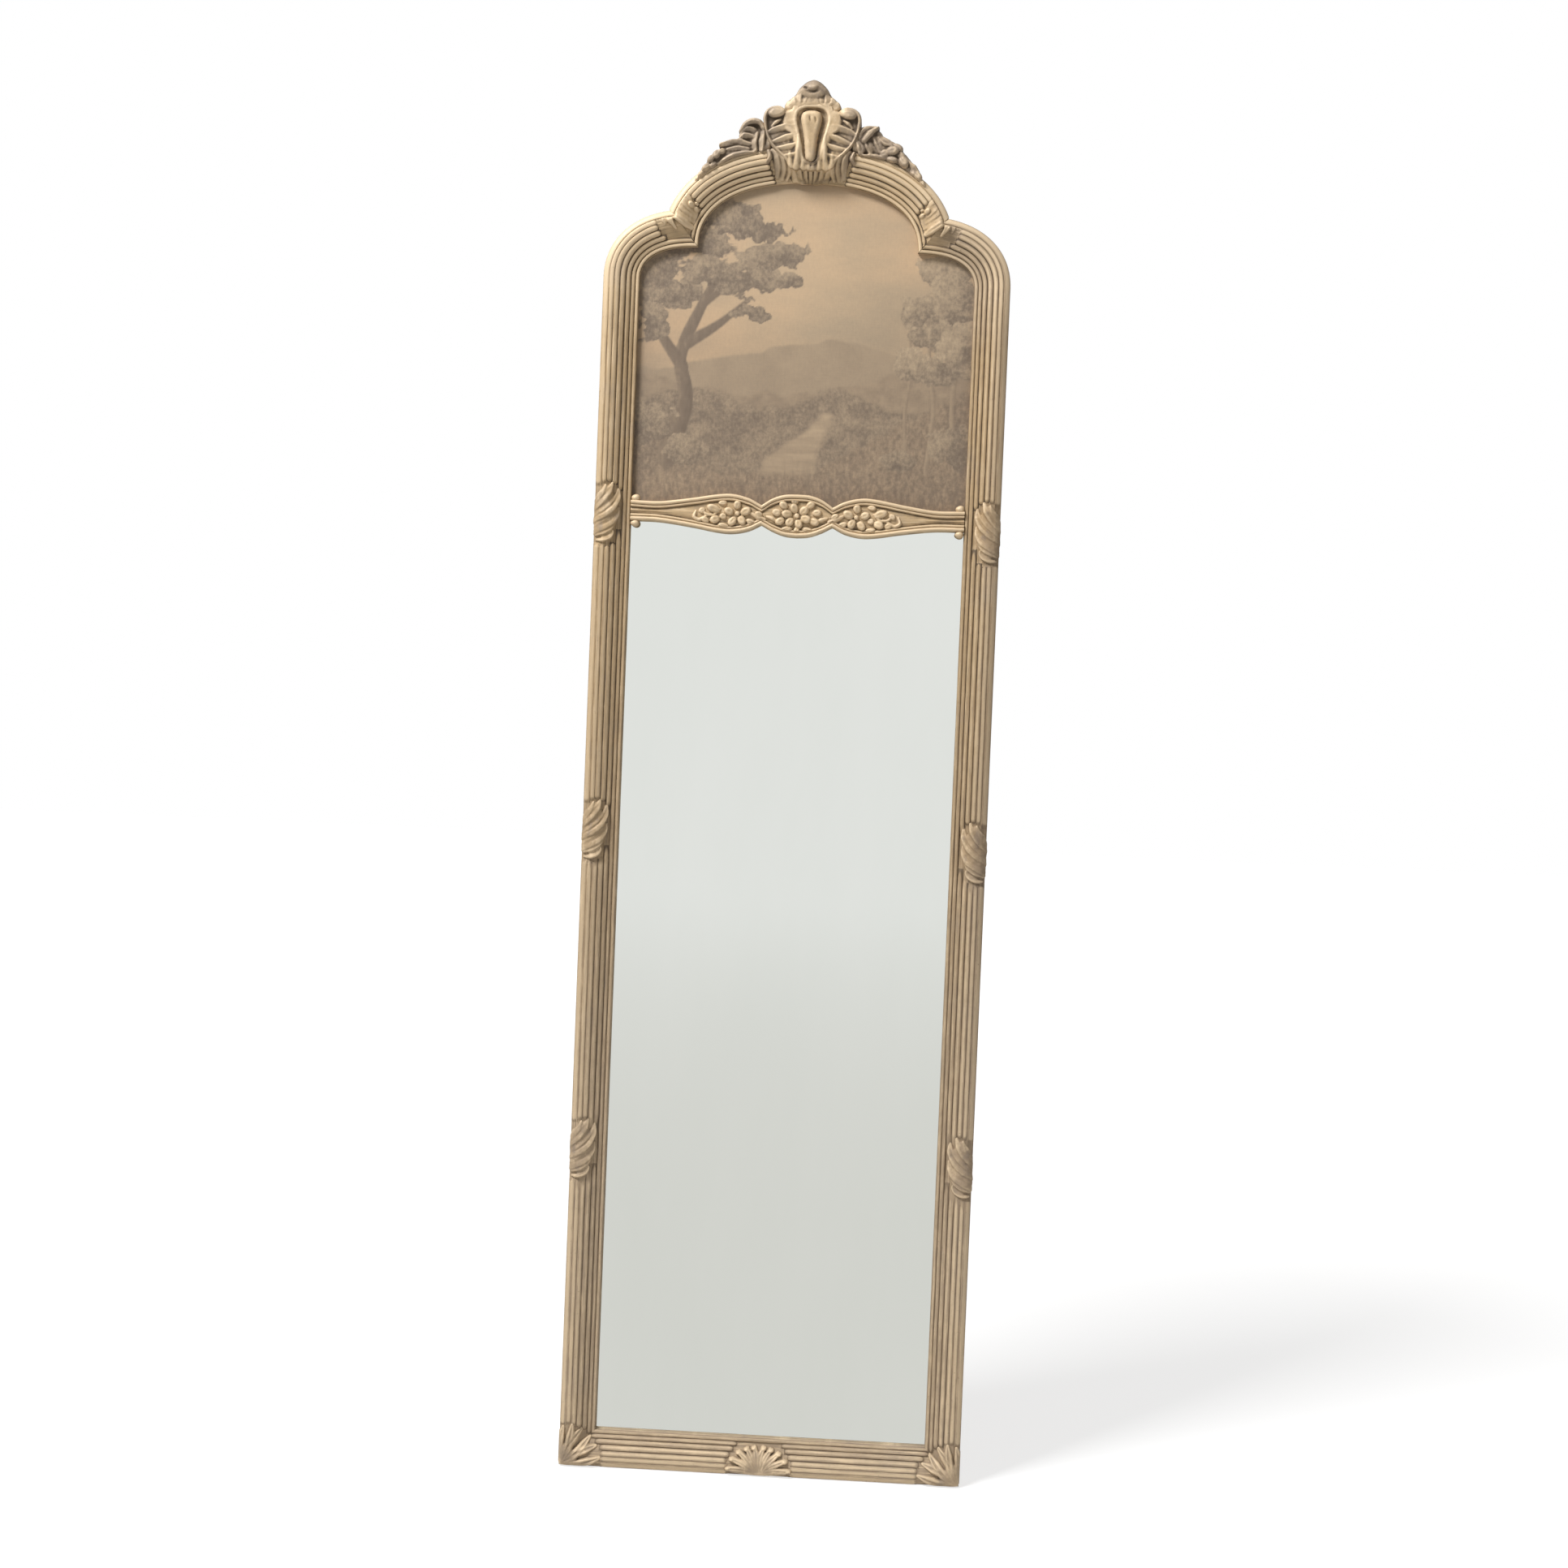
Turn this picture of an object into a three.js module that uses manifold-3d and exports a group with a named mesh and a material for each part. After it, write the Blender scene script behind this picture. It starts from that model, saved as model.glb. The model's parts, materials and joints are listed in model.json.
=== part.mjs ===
// A trumeau mirror: a tall reeded frame with rounded shoulders and an arched top, a carved crest,
// a lobed cross rail, a mirror plate below the rail and a picture panel above it.
// Millimetres. X is across the front, Z is up, and the front faces -Y. Depths below are 0 at the
// crown of the moulding, negative towards the viewer and positive towards the wall. At the end the
// whole mirror moves forwards by originDepth, so its origin is on the flat underside.
import * as THREE from "three";
import { mergeVertices } from "three/addons/utils/BufferGeometryUtils.js";
import Module from "manifold-3d";

// Frame
const halfWidth = 250;
const mouldingWidth = 43.5;
const sightHalf = halfWidth - mouldingWidth;
const stileTop = 1465; // joint between stile and shoulder
const springZ = 1478; // where the shoulder's curve starts
const cuspX = 135.7; // inner corner between shoulder and arch
const cuspZ = 1521;
const shoulderPower = 2.4; // superellipse exponents of the two curves
const archRise = 81.8;
const archPower = 2.3;
const curveSteps = 9;

// Section of the moulding, in depth
const originDepth = 19;
const backY = 33;
const lipY = 19; // back of the lip that the glass rests on
const sightY = 13.5; // front of the lip
const crownY = -0.4; // grooves between the reeds on the crown
const outerY = 4; // front edge of the outer side
const rebateWidth = 8;
const reedEdges = [0, 8, 14, 20.5, 27, 33, 38.5, mouldingWidth]; // grooves, from the outer edge
const coreEdges = [0, 8, 20.5, 33, mouldingWidth]; // corners of the plain section under ornaments
const reedRise = 0.3; // height of a reed over its width
const coreDepth = 0.8; // how far the plain seat of an ornament lies behind the grooves
const fullness = 0.45; // how blunt the ends of a carved lobe are: 0 is a ball drawn out

const gap = 0.3; // clearance between fitted pieces
const mirrorTop = 1185.5;
const panelBottom = 1198.5;

// Cross rail: top and bottom edges from the stile to the centre
const railTop = [
  [206.2, 1205], [170, 1205], [130, 1210.5], [100, 1216], [80, 1217.4], [60, 1213], [44, 1204.5],
];
const railTopCentre = [[44, 1204.5], [30, 1213.5], [15, 1218.6], [0, 1219.5]];
const railBottom = [
  [206.2, 1179.5], [170, 1179], [130, 1173.5], [100, 1169], [80, 1168], [60, 1172], [44, 1180],
];
const railBottomCentre = [[44, 1180], [30, 1172.5], [15, 1167], [0, 1165.5]];
const railBeadY = 8;
const railFieldY = 11;
const tongueBack = 31; // the tongue behind the rail keeps glass and picture apart
const tongueZ = [1186, 1198];
const tenonLength = 15;
const tenonZ = [1187, 1197.5];
const tenonY = [21, 29];
const knobX = 199; // turned knobs at the rail's four corners
const knobZ = [1178, 1206];
const knobRadius = 6;

// Ribbons round the stiles: heights of their middles
const leftRibbons = [1192, 800, 402];
const rightRibbons = [1183, 790, 400];
const ribbonNames = ["upper", "middle", "lower"];

// Hangers on the back
const hangerX = 226;
const hangerZ = 1405;
const strapThickness = 1.2;
const wireRadius = 1.3;
const ringHalfWidth = 8;
const ringDrop = 13;
const barrelY = backY + gap + 3;
const screwDrops = [20, 36];
const screwRadius = 1.5;
const screwLength = 12;

const wholeDepth = [-40, 60];
const carvedDepth = [-40, lipY - 3]; // depths that carved pieces on the moulding keep to

const wasm = await Module();
wasm.setup();
const { Manifold, Mesh } = wasm;

// A closed geometry as a solid that can be joined and cut, turned the right way out.
function solid(geometry) {
  const bare = geometry.clone();
  for (const name of Object.keys(bare.attributes)) {
    if (name !== "position") bare.deleteAttribute(name);
  }
  const merged = mergeVertices(bare, 1e-4);
  const triVerts = new Uint32Array(merged.index.array);
  const vertProperties = new Float32Array(merged.attributes.position.array);
  const made = new Manifold(new Mesh({ numProp: 3, vertProperties, triVerts }));
  if (made.volume() > 0) return made;
  for (let i = 0; i < triVerts.length; i += 3) {
    [triVerts[i + 1], triVerts[i + 2]] = [triVerts[i + 2], triVerts[i + 1]];
  }
  return new Manifold(new Mesh({ numProp: 3, vertProperties, triVerts }));
}

function join(solids) {
  return solids.reduce((whole, next) => whole.add(next));
}

// The main body of a carving, without the crumbs that a cut can leave.
function mainBody(carving) {
  const bodies = carving.decompose();
  return bodies.reduce((largest, next) => (next.volume() > largest.volume() ? next : largest));
}

// A solid's surface as a geometry with flat faces.
function surface(body) {
  const mesh = body.getMesh();
  const geometry = new THREE.BufferGeometry();
  geometry.setAttribute("position", new THREE.BufferAttribute(mesh.vertProperties, 3));
  geometry.setIndex(new THREE.BufferAttribute(mesh.triVerts, 1));
  const flat = geometry.toNonIndexed();
  flat.computeVertexNormals();
  return flat;
}

function box(xRange, yRange, zRange) {
  const low = new THREE.Vector3(xRange[0], yRange[0], zRange[0]);
  const high = new THREE.Vector3(xRange[1], yRange[1], zRange[1]);
  const size = high.clone().sub(low);
  const middle = high.add(low).multiplyScalar(0.5);
  return solid(new THREE.BoxGeometry(size.x, size.y, size.z).translate(middle.x, middle.y, middle.z));
}

// A prism through the whole depth, or between two depths, from a front outline of [x, z] points.
function prism(outline, yRange = wholeDepth) {
  const shape = new THREE.Shape(outline.map(([x, z]) => new THREE.Vector2(x, z)));
  const slab = new THREE.ExtrudeGeometry(shape, { depth: yRange[1] - yRange[0], bevelEnabled: false });
  return solid(slab.rotateX(Math.PI / 2).translate(0, yRange[1], 0));
}

// A round bar from one point to another.
function bar(from, to, radius, sides = 10) {
  const start = new THREE.Vector3(...from);
  const span = new THREE.Vector3(...to).sub(start);
  const upright = new THREE.Vector3(0, 1, 0);
  const turn = new THREE.Quaternion().setFromUnitVectors(upright, span.clone().normalize());
  const middle = start.addScaledVector(span, 0.5);
  const rod = new THREE.CylinderGeometry(radius, radius, span.length(), sides);
  return solid(rod.applyQuaternion(turn).translate(middle.x, middle.y, middle.z));
}

// Everything on one side of an upright plane through [x, z], on the side that [nx, nz] points to.
function halfSpace([x, z], [nx, nz]) {
  const size = 4000;
  const block = new THREE.BoxGeometry(size, size, size).translate(size / 2, 0, 0);
  return solid(block.rotateY(-Math.atan2(nz, nx)).translate(x, 0, z));
}

const mirrorX = (body) => body.mirror([1, 0, 0]);
const both = (pieces) => [...pieces, ...pieces.map(mirrorX)];

// Moulding

// Depth of the groove line at a distance from the outer edge: level on the crown, then a smooth fall
// to the sight edge.
function grooveY(fromOuter) {
  const t = THREE.MathUtils.clamp((fromOuter - 10) / (mouldingWidth - 10), 0, 1);
  return fromOuter <= 0 ? outerY : crownY + (sightY - crownY) * (0.5 - 0.5 * Math.cos(Math.PI * t));
}

// Front of the moulding as [distance out from the sight edge, depth] points. Each reed is an arch on
// the chord between its grooves.
function reededFront() {
  const front = [];
  reedEdges.slice(0, -1).forEach((start, i) => {
    const end = reedEdges[i + 1];
    const chord = new THREE.Vector2(end - start, grooveY(end) - grooveY(start));
    const outward = new THREE.Vector2(chord.y, -chord.x).normalize();
    front.push([mouldingWidth - start, grooveY(start)]);
    for (const t of [0.3, 0.7]) {
      const rise = chord.length() * reedRise * Math.sin(Math.PI * t);
      const s = start + chord.x * t + outward.x * rise;
      front.push([mouldingWidth - s, grooveY(start) + chord.y * t + outward.y * rise]);
    }
  });
  front.push([0, sightY]);
  return front;
}

function coreFront() {
  return coreEdges.map((s) => [mouldingWidth - s, grooveY(s) + coreDepth]);
}

// The moulding's closed section. A positive growth moves its front and outer side outwards.
function section(front, growth = 0) {
  const grown = front.map(([u, y]) => [u === mouldingWidth ? u + growth : u, y - growth * 1.15]);
  const back = [[0, lipY], [rebateWidth, lipY], [rebateWidth, backY], [grown[0][0], backY]];
  return [...grown, ...back];
}

// Carries a section of [distance from the path, depth] points along stations {x, z, nx, nz}.
function carry(points, stations) {
  const shape = new THREE.Shape(points.map(([u, y]) => new THREE.Vector2(u, y)));
  const steps = stations.length - 1;
  const swept = new THREE.ExtrudeGeometry(shape, { depth: steps, steps, bevelEnabled: false });
  const position = swept.attributes.position;
  for (let i = 0; i < position.count; i += 1) {
    const { x, z, nx, nz } = stations[Math.round(position.getZ(i))];
    const u = position.getX(i);
    position.setXYZ(i, x + nx * u, position.getY(i), z + nz * u);
  }
  return solid(swept);
}

// Stations on a quarter superellipse, from its side to its top, with their outward directions.
function quarter(centreX, centreZ, a, b, power, steps) {
  return Array.from({ length: steps + 1 }, (_, i) => {
    const angle = (Math.PI / 2) * (i / steps);
    const c = Math.cos(angle) ** (2 / power);
    const s = Math.sin(angle) ** (2 / power);
    const normal = new THREE.Vector2(c ** (power - 1) / a, s ** (power - 1) / b).normalize();
    return { x: centreX + a * c, z: centreZ + b * s, nx: normal.x, nz: normal.y };
  });
}

const shoulderSize = [sightHalf - cuspX, cuspZ - springZ];
const shoulderCurve = quarter(cuspX, springZ, ...shoulderSize, shoulderPower, curveSteps);
const archCurve = quarter(0, cuspZ, cuspX, archRise, archPower, curveSteps);
const outwards = (nx, nz) => (x, z) => ({ x, z, nx, nz });
const right = outwards(1, 0);
const up = outwards(0, 1);
const down = outwards(0, -1);
const stilePath = [right(sightHalf, -60), right(sightHalf, stileTop - gap / 2)];
const bottomPath = [down(-halfWidth - 60, mouldingWidth), down(halfWidth + 60, mouldingWidth)];
const shoulderPath = [right(sightHalf, stileTop + gap / 2), ...shoulderCurve, up(cuspX - 80, cuspZ)];
const archPath = [right(cuspX, cuspZ - 80), ...archCurve.slice(0, -1), up(gap / 2, cuspZ + archRise)];

const cuspMitre = [33.8, 40.5]; // from the inner corner to the outer one
const cuspNormal = [cuspMitre[1], -cuspMitre[0]];
const cornerNormal = [1, 1];

// Distance out from the sight edge of the frame's right half.
const sightLine = [[0, mouldingWidth], [sightHalf, mouldingWidth]]
  .concat(shoulderCurve.map(({ x, z }) => [x, z]))
  .concat(archCurve.map(({ x, z }) => [x, z]));
function fromSight(x, z) {
  const point = new THREE.Vector3(Math.abs(x), 0, z);
  const nearest = new THREE.Vector3();
  return sightLine.slice(1).reduce((least, end, i) => {
    const start = sightLine[i];
    const from = new THREE.Vector3(start[0], 0, start[1]);
    const to = new THREE.Vector3(end[0], 0, end[1]);
    new THREE.Line3(from, to).closestPointToPoint(point, true, nearest);
    return Math.min(least, nearest.distanceTo(point));
  }, Infinity);
}

function coreY(x, z) {
  return grooveY(Math.max(mouldingWidth - fromSight(x, z), 1)) + coreDepth;
}

// Carving

// A carved lobe: a ball drawn out along a curve through [x, z] points. Its half width runs through
// the widths from start to end, and it stands out from the given depth, or from its seat.
function lobe(points, widths, height, depth = coreY, sides = 6, steps = 4) {
  const curve = new THREE.CatmullRomCurve3(points.map(([x, z]) => new THREE.Vector3(x, 0, z)));
  const ball = new THREE.SphereGeometry(1, sides, steps);
  const position = ball.attributes.position;
  for (let i = 0; i < position.count; i += 1) {
    const along = THREE.MathUtils.clamp((1 - position.getY(i)) / 2, 0, 1);
    const at = curve.getPointAt(along);
    const tangent = curve.getTangentAt(along);
    const place = along * (widths.length - 1);
    const before = Math.min(Math.floor(place), widths.length - 2);
    const width = THREE.MathUtils.lerp(widths[before], widths[before + 1], place - before);
    const reach = Math.hypot(position.getX(i), position.getZ(i));
    const fill = reach > 0.01 ? reach ** -fullness : 1;
    const aside = position.getX(i) * width * fill;
    const y = typeof depth === "function" ? depth(at.x, at.z) : depth;
    const out = position.getZ(i) * height * fill;
    position.setXYZ(i, at.x + tangent.z * aside, y - out, at.z - tangent.x * aside);
  }
  return solid(ball);
}

// A petal or berry: a flattened ball.
function pearl([x, z], [halfX, halfZ], height, depth) {
  const ball = new THREE.SphereGeometry(1, 6, 4).rotateX(Math.PI / 2);
  return solid(ball.scale(halfX, height, halfZ).translate(x, depth, z));
}

// An outline moved towards its middle.
function inset(outline, distance) {
  const mean = (axis) => outline.reduce((total, point) => total + point[axis], 0) / outline.length;
  const middle = [mean(0), mean(1)];
  return outline.map(([x, z]) => {
    const away = Math.hypot(x - middle[0], z - middle[1]);
    const shrink = (away - distance * 1.5) / away;
    return [middle[0] + (x - middle[0]) * shrink, middle[1] + (z - middle[1]) * shrink];
  });
}

// Outline of a ribbon's seat on the right stile, about a height.
const raised = (outline, z) => outline.map(([x, dz]) => [x, z + dz]);
const ribbonOutline = [[218, 28], [229, 36], [252, 30], [252, -34], [236, -38], [221, -18]];
const ribbonGround = [[219, -20], [221, 26], [230, 33], [249, 22], [249, -29], [236, -35]];
const ribbonSeat = (z) => raised(ribbonOutline, z);
const cornerSeat = [[253, -3], [253, 50], [238, 54], [222, 46], [208, 32], [198, 22], [197, -3]];
const cuspSeat = [
  [146, 1533], [158, 1530], [188, 1541], [190, 1566], [168, 1574], [152, 1586], [140, 1580], [138, 1545],
];
const palmetteSeat = [[-38, -3], [38, -3], [40, 18], [26, 38], [-26, 38], [-40, 18]];
const collarSeat = [
  [-40, 1590], [40, 1590], [46, 1612], [54, 1636], [50, 1660], [-50, 1660], [-54, 1636], [-46, 1612],
];

// The plain section along each piece of the frame.
const coreStile = carry(section(coreFront()), stilePath);
const coreBottom = carry(section(coreFront()), bottomPath);
const coreShoulder = carry(section(coreFront()), shoulderPath);
const coreArch = carry(section(coreFront()), archPath);
const grownCore = (path) => carry(section(coreFront(), gap), path);

// A thin plain ground for carved lobes, which follows the seat within an outline.
function ground(path, outline) {
  const skin = 1.2;
  return carry(section(coreFront(), gap + skin), path).intersect(prism(outline, carvedDepth));
}

// Keeps what stands in front of the seats within an outline.
function seated(body, outline, paths) {
  const within = body.intersect(prism(inset(outline, gap), carvedDepth));
  return mainBody(paths.reduce((rest, path) => rest.subtract(grownCore(path)), within));
}

function ribbon(z) {
  const lobes = [
    ground(stilePath, raised(ribbonGround, z)),
    lobe([[229, z - 36], [224, z - 14], [221, z + 6], [223, z + 30]], [3, 3.5, 4, 3], 5),
    lobe([[224, z + 33], [234, z + 26], [242, z + 16], [251, z + 9]], [3, 5, 5, 3], 5),
    lobe([[223, z + 24], [228, z + 10], [238, z + 1], [251, z - 4]], [3, 5, 5, 3], 5),
    lobe([[224, z + 8], [231, z - 5], [240, z - 12], [250, z - 15]], [3, 5, 4.5, 3], 5),
    lobe([[225, z - 8], [232, z - 18], [240, z - 24], [249, z - 27]], [3, 5, 4.5, 3], 5),
  ];
  return seated(join(lobes), ribbonSeat(z), [stilePath]);
}

function cornerLeaf() {
  const tips = [[246, 46], [233, 50], [219, 40], [209, 27], [201, 12]];
  const lobes = tips.map(([x, z]) => {
    const middle = [(x + 243) / 2 + 1, (z + 8) / 2 - 1];
    return lobe([[246, 5], middle, [x, z]], [4, 6.5, 3], 5);
  });
  return seated(join(lobes), cornerSeat, [stilePath, bottomPath]);
}

function cuspLeaf() {
  const tips = [[146, 1578], [160, 1572], [172, 1562], [184, 1556], [184, 1543], [144, 1556]];
  const lobes = tips.map(([x, z]) => {
    return lobe([[149, 1537], [(149 + x) / 2 + 3, (1537 + z) / 2], [x, z]], [4.5, 6, 3.5], 5);
  });
  return seated(join(lobes), cuspSeat, [shoulderPath, archPath]);
}

function palmette() {
  const angles = [-72, -48, -24, 0, 24, 48, 72];
  const lobes = angles.map((degrees) => {
    const a = THREE.MathUtils.degToRad(degrees);
    const length = 33;
    const tip = [length * Math.sin(a) * 1.08, 4 + length * Math.cos(a) * 0.95];
    const middle = [tip[0] * 0.5, 4 + (tip[1] - 4) * 0.62];
    return lobe([[tip[0] * 0.1, 5], middle, tip], [4, 4.5, 4], 5);
  });
  lobes.push(lobe([[-30, 5], [0, 3.5], [30, 5]], [2.5, 4, 2.5], 4));
  return seated(join(lobes), palmetteSeat, [bottomPath]);
}

// Frame pieces

// Holes for the round dowels that hold the joints: from, to and radius.
const dowelRadius = 3;
const dowelY = 21;
const cornerMid = [halfWidth - mouldingWidth / 2, mouldingWidth / 2];
const cuspMid = [cuspX + cuspMitre[0] / 2, cuspZ + cuspMitre[1] / 2];
function across([x, z], [nx, nz], half) {
  const size = Math.hypot(nx, nz);
  return [-half, half].map((d) => [x + (nx / size) * d, dowelY, z + (nz / size) * d]);
}
const shoulderDowelX = 230;
const archDowelZ = cuspZ + archRise + 22;
const dowels = {
  bottom: across(cornerMid, [1, -1], 12),
  shoulder: [-14, 14].map((d) => [shoulderDowelX, dowelY, stileTop + d]),
  cusp: across(cuspMid, cuspNormal, 10),
  arch: [-14, 14].map((x) => [x, dowelY, archDowelZ]),
  crest: [1633, 1662].map((z) => [20, 13, z]),
};

function dowelHole([from, to]) {
  const a = new THREE.Vector3(...from);
  const b = new THREE.Vector3(...to);
  const along = b.clone().sub(a).setLength(gap);
  return bar(a.sub(along).toArray(), b.add(along).toArray(), dowelRadius + gap);
}

// Panel pins in the walls of the rebate: [height, depth].
const pinY = 28.9;
const pinRadius = 0.7;
const mirrorPins = [260, 960];
const picturePins = [1270, 1430];
const pinRun = [sightHalf + rebateWidth - 5, sightHalf + rebateWidth + 8];

// A piece whose front is plain within the seats and reeded elsewhere.
function withSeats(reeded, core, seats) {
  return join([seats.reduce((rest, seat) => rest.subtract(prism(seat)), reeded), core]);
}

// A range with the clearance added at both ends.
const loosened = ([low, high]) => [low - gap, high + gap];

function screwHole(drop, front, back) {
  const z = hangerZ - drop;
  return bar([hangerX, front, z], [hangerX, back, z], screwRadius + gap, 8);
}

function stile(ribbonHeights) {
  const seats = [...ribbonHeights.map(ribbonSeat), cornerSeat];
  const mitre = halfSpace([halfWidth, gap / 2], cornerNormal);
  const mortiseX = [sightHalf, sightHalf + rebateWidth + tenonLength + gap];
  const mortise = box(mortiseX, loosened(tenonY), loosened(tenonZ));
  const pinHoles = [...mirrorPins, ...picturePins].map((z) => {
    return bar([pinRun[0], pinY, z], [pinRun[1] + gap, pinY, z], pinRadius + gap, 6);
  });
  const screwHoles = screwDrops.map((drop) => screwHole(drop, backY - screwLength - gap, backY + 1));
  const holes = [dowelHole(dowels.bottom), dowelHole(dowels.shoulder), mortise, ...pinHoles, ...screwHoles];
  const whole = withSeats(carry(section(reededFront()), stilePath), coreStile, seats).intersect(mitre);
  return holes.reduce((rest, hole) => rest.subtract(hole), whole);
}

function bottomRail() {
  const seats = [cornerSeat, cornerSeat.map(([x, z]) => [-x, z]), palmetteSeat];
  const leftEnd = halfSpace([-halfWidth, -gap / 2], [1, -1]);
  const rightEnd = halfSpace([halfWidth, -gap / 2], [-1, -1]);
  const whole = withSeats(carry(section(reededFront()), bottomPath), coreBottom, seats);
  const hole = dowelHole(dowels.bottom);
  return whole.intersect(leftEnd).intersect(rightEnd).subtract(hole).subtract(mirrorX(hole));
}

function shoulder() {
  const mitre = halfSpace([cuspX + gap / 2, cuspZ - gap / 2], cuspNormal);
  const whole = withSeats(carry(section(reededFront()), shoulderPath), coreShoulder, [cuspSeat]);
  return whole.intersect(mitre).subtract(dowelHole(dowels.shoulder)).subtract(dowelHole(dowels.cusp));
}

function arch() {
  const mitre = halfSpace([cuspX - gap / 2, cuspZ + gap / 2], cuspNormal.map((n) => -n));
  const whole = withSeats(carry(section(reededFront()), archPath), coreArch, [cuspSeat, collarSeat]);
  const runs = [dowels.cusp, dowels.arch, dowels.crest];
  return runs.reduce((rest, run) => rest.subtract(dowelHole(run)), whole.intersect(mitre));
}

// Cross rail

// Points of an edge curve, from the left end to the right end.
function railEdge(side, centre) {
  const along = (points, count) => {
    return new THREE.SplineCurve(points.map((p) => new THREE.Vector2(...p))).getPoints(count);
  };
  const half = [...along(side, 8), ...along(centre, 4).slice(1)];
  const left = half.map(({ x, y }) => [-x, y]);
  return [...left, ...half.slice(0, -1).reverse().map(({ x, y }) => [x, y])];
}

const topEdge = railEdge(railTop, railTopCentre);
const bottomEdge = railEdge(railBottom, railBottomCentre);

// The rail's section: two beads along each edge and a flat field between. Distances run in from the
// nearer edge.
const edgeBeads = [
  [0, railBeadY + 2.5], [1.2, railBeadY], [3.8, railBeadY],
  [5.2, railBeadY + 2.4], [7, railBeadY + 0.9], [9.6, railFieldY],
];

function middleRail() {
  const nominal = 100;
  const lower = edgeBeads.map(([v, y]) => new THREE.Vector2(v, y));
  const upper = edgeBeads.map(([v, y]) => new THREE.Vector2(nominal - v, y)).reverse();
  const corners = [new THREE.Vector2(0, lipY), new THREE.Vector2(nominal, lipY)];
  const shape = new THREE.Shape([corners[0], ...lower, ...upper, corners[1]]);
  const steps = topEdge.length - 1;
  const swept = new THREE.ExtrudeGeometry(shape, { depth: steps, steps, bevelEnabled: false });
  const position = swept.attributes.position;
  for (let i = 0; i < position.count; i += 1) {
    const station = Math.round(position.getZ(i));
    const v = position.getX(i);
    const [x, low] = bottomEdge[station];
    const high = topEdge[station][1];
    position.setXYZ(i, x, position.getY(i), v < nominal / 2 ? low + v : high - (nominal - v));
  }
  const tongue = sightHalf + rebateWidth - gap;
  const tenon = tongue + tenonLength;
  const knobs = knobZ.map((z) => {
    const knob = new THREE.SphereGeometry(knobRadius, 8, 5).scale(1, 0.8, 1);
    return solid(knob.translate(knobX, railBeadY + 4.4, z));
  });
  return join([
    solid(swept),
    box([-sightHalf + gap, sightHalf - gap], [lipY - 1, tongueBack], tongueZ),
    box([-tongue, tongue], [lipY + gap, tongueBack], tongueZ),
    box([-tenon, tenon], tenonY, tenonZ),
    ...both(knobs),
  ]);
}

// Two lobes of the rail hold a five-petalled flower with a tendril, the middle one a posy.
function railFlower(rail, side) {
  const petals = [[60, 1196], [71, 1201], [80, 1194], [76, 1184], [64, 1184]];
  const leaves = [[100, 1198], [102, 1185], [121, 1191]];
  const tendril = [[74, 1191], [88, 1189], [103, 1192], [112, 1191], [122, 1190]];
  const pieces = [
    ...petals.map((p) => pearl(p, [7.5, 6.5], 3.6, railFieldY)),
    pearl([70, 1192], [5.5, 5], 4.8, railFieldY),
    ...leaves.map((p) => pearl(p, [8, 6], 3.2, railFieldY)),
    lobe(tendril, [4.5, 3.5, 3.5, 3], 2.6, railFieldY),
    lobe([[62, 1190], [54, 1192], [47, 1192]], [4, 4.5, 3], 3, railFieldY),
  ];
  const grown = rail.translate([0, -gap, 0]);
  const flower = join(pieces).subtract(grown);
  return side < 0 ? mirrorX(flower) : flower;
}

function railPosy(rail) {
  const petals = Array.from({ length: 8 }, (_, i) => {
    const angle = (i * Math.PI) / 4;
    return [17.5 * Math.sin(angle), 1192.5 + 14.5 * Math.cos(angle)];
  });
  const leaves = [[25, 1185], [25, 1201], [-25, 1185], [-25, 1201]];
  const pieces = [
    ...petals.map((p) => pearl(p, [7, 6.5], 3.8, railFieldY)),
    ...leaves.map((p) => pearl(p, [6.5, 5], 3, railFieldY)),
    pearl([0, 1193], [12, 10], 5, railFieldY),
  ];
  return join(pieces).subtract(rail.translate([0, -gap, 0]));
}

// Crest

const crestFront = -6;
const crestBack = 19;
const recessDepth = 4;
const cartoucheHalf = [
  [0, 1619], [14, 1619], [27, 1623], [38, 1629], [48, 1637], [56, 1648], [59, 1660], [60, 1675],
  [57, 1687], [49, 1693], [40, 1692], [34, 1687], [24, 1690], [0, 1692],
];
const recessHalf = [
  [0, 1621], [6, 1622.5], [9, 1628], [10, 1636], [14, 1660], [17, 1674], [16, 1683], [9, 1688.5], [0, 1690],
];
const collarHalf = [
  [0, 1600], [20, 1601], [36, 1606], [44, 1616], [48, 1630], [34, 1634], [20, 1626], [0, 1622],
];
const scrollLine = [
  [24, 1622], [38, 1630], [50, 1640], [58, 1653], [60, 1668], [56, 1683],
  [46, 1689], [37, 1684], [36, 1674], [43, 1668], [49, 1673],
];
const scrollWidths = [3, 3.2, 3.4, 3.6, 5, 7.5, 6.5, 5, 4.5, 4];
const topLeafHalf = [
  [0, 1692.6], [24, 1690.6], [32, 1693], [25, 1702], [19, 1712], [9, 1720], [0, 1722],
];
const mirrored = (half) => [...half, ...half.slice(1, -1).reverse().map(([x, z]) => [-x, z])];

// Both halves of the arch as one solid, thickened by a growth.
function wholeArch(front, growth) {
  const half = carry(section(front, growth), [...archPath.slice(0, -1), up(-5, cuspZ + archRise)]);
  return half.add(mirrorX(half));
}

// The crest stands on the outer side of the arch and laps over the plain seat on its front.
function onArch(body, front = coreFront()) {
  return mainBody(body.subtract(wholeArch(front, gap)));
}

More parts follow.
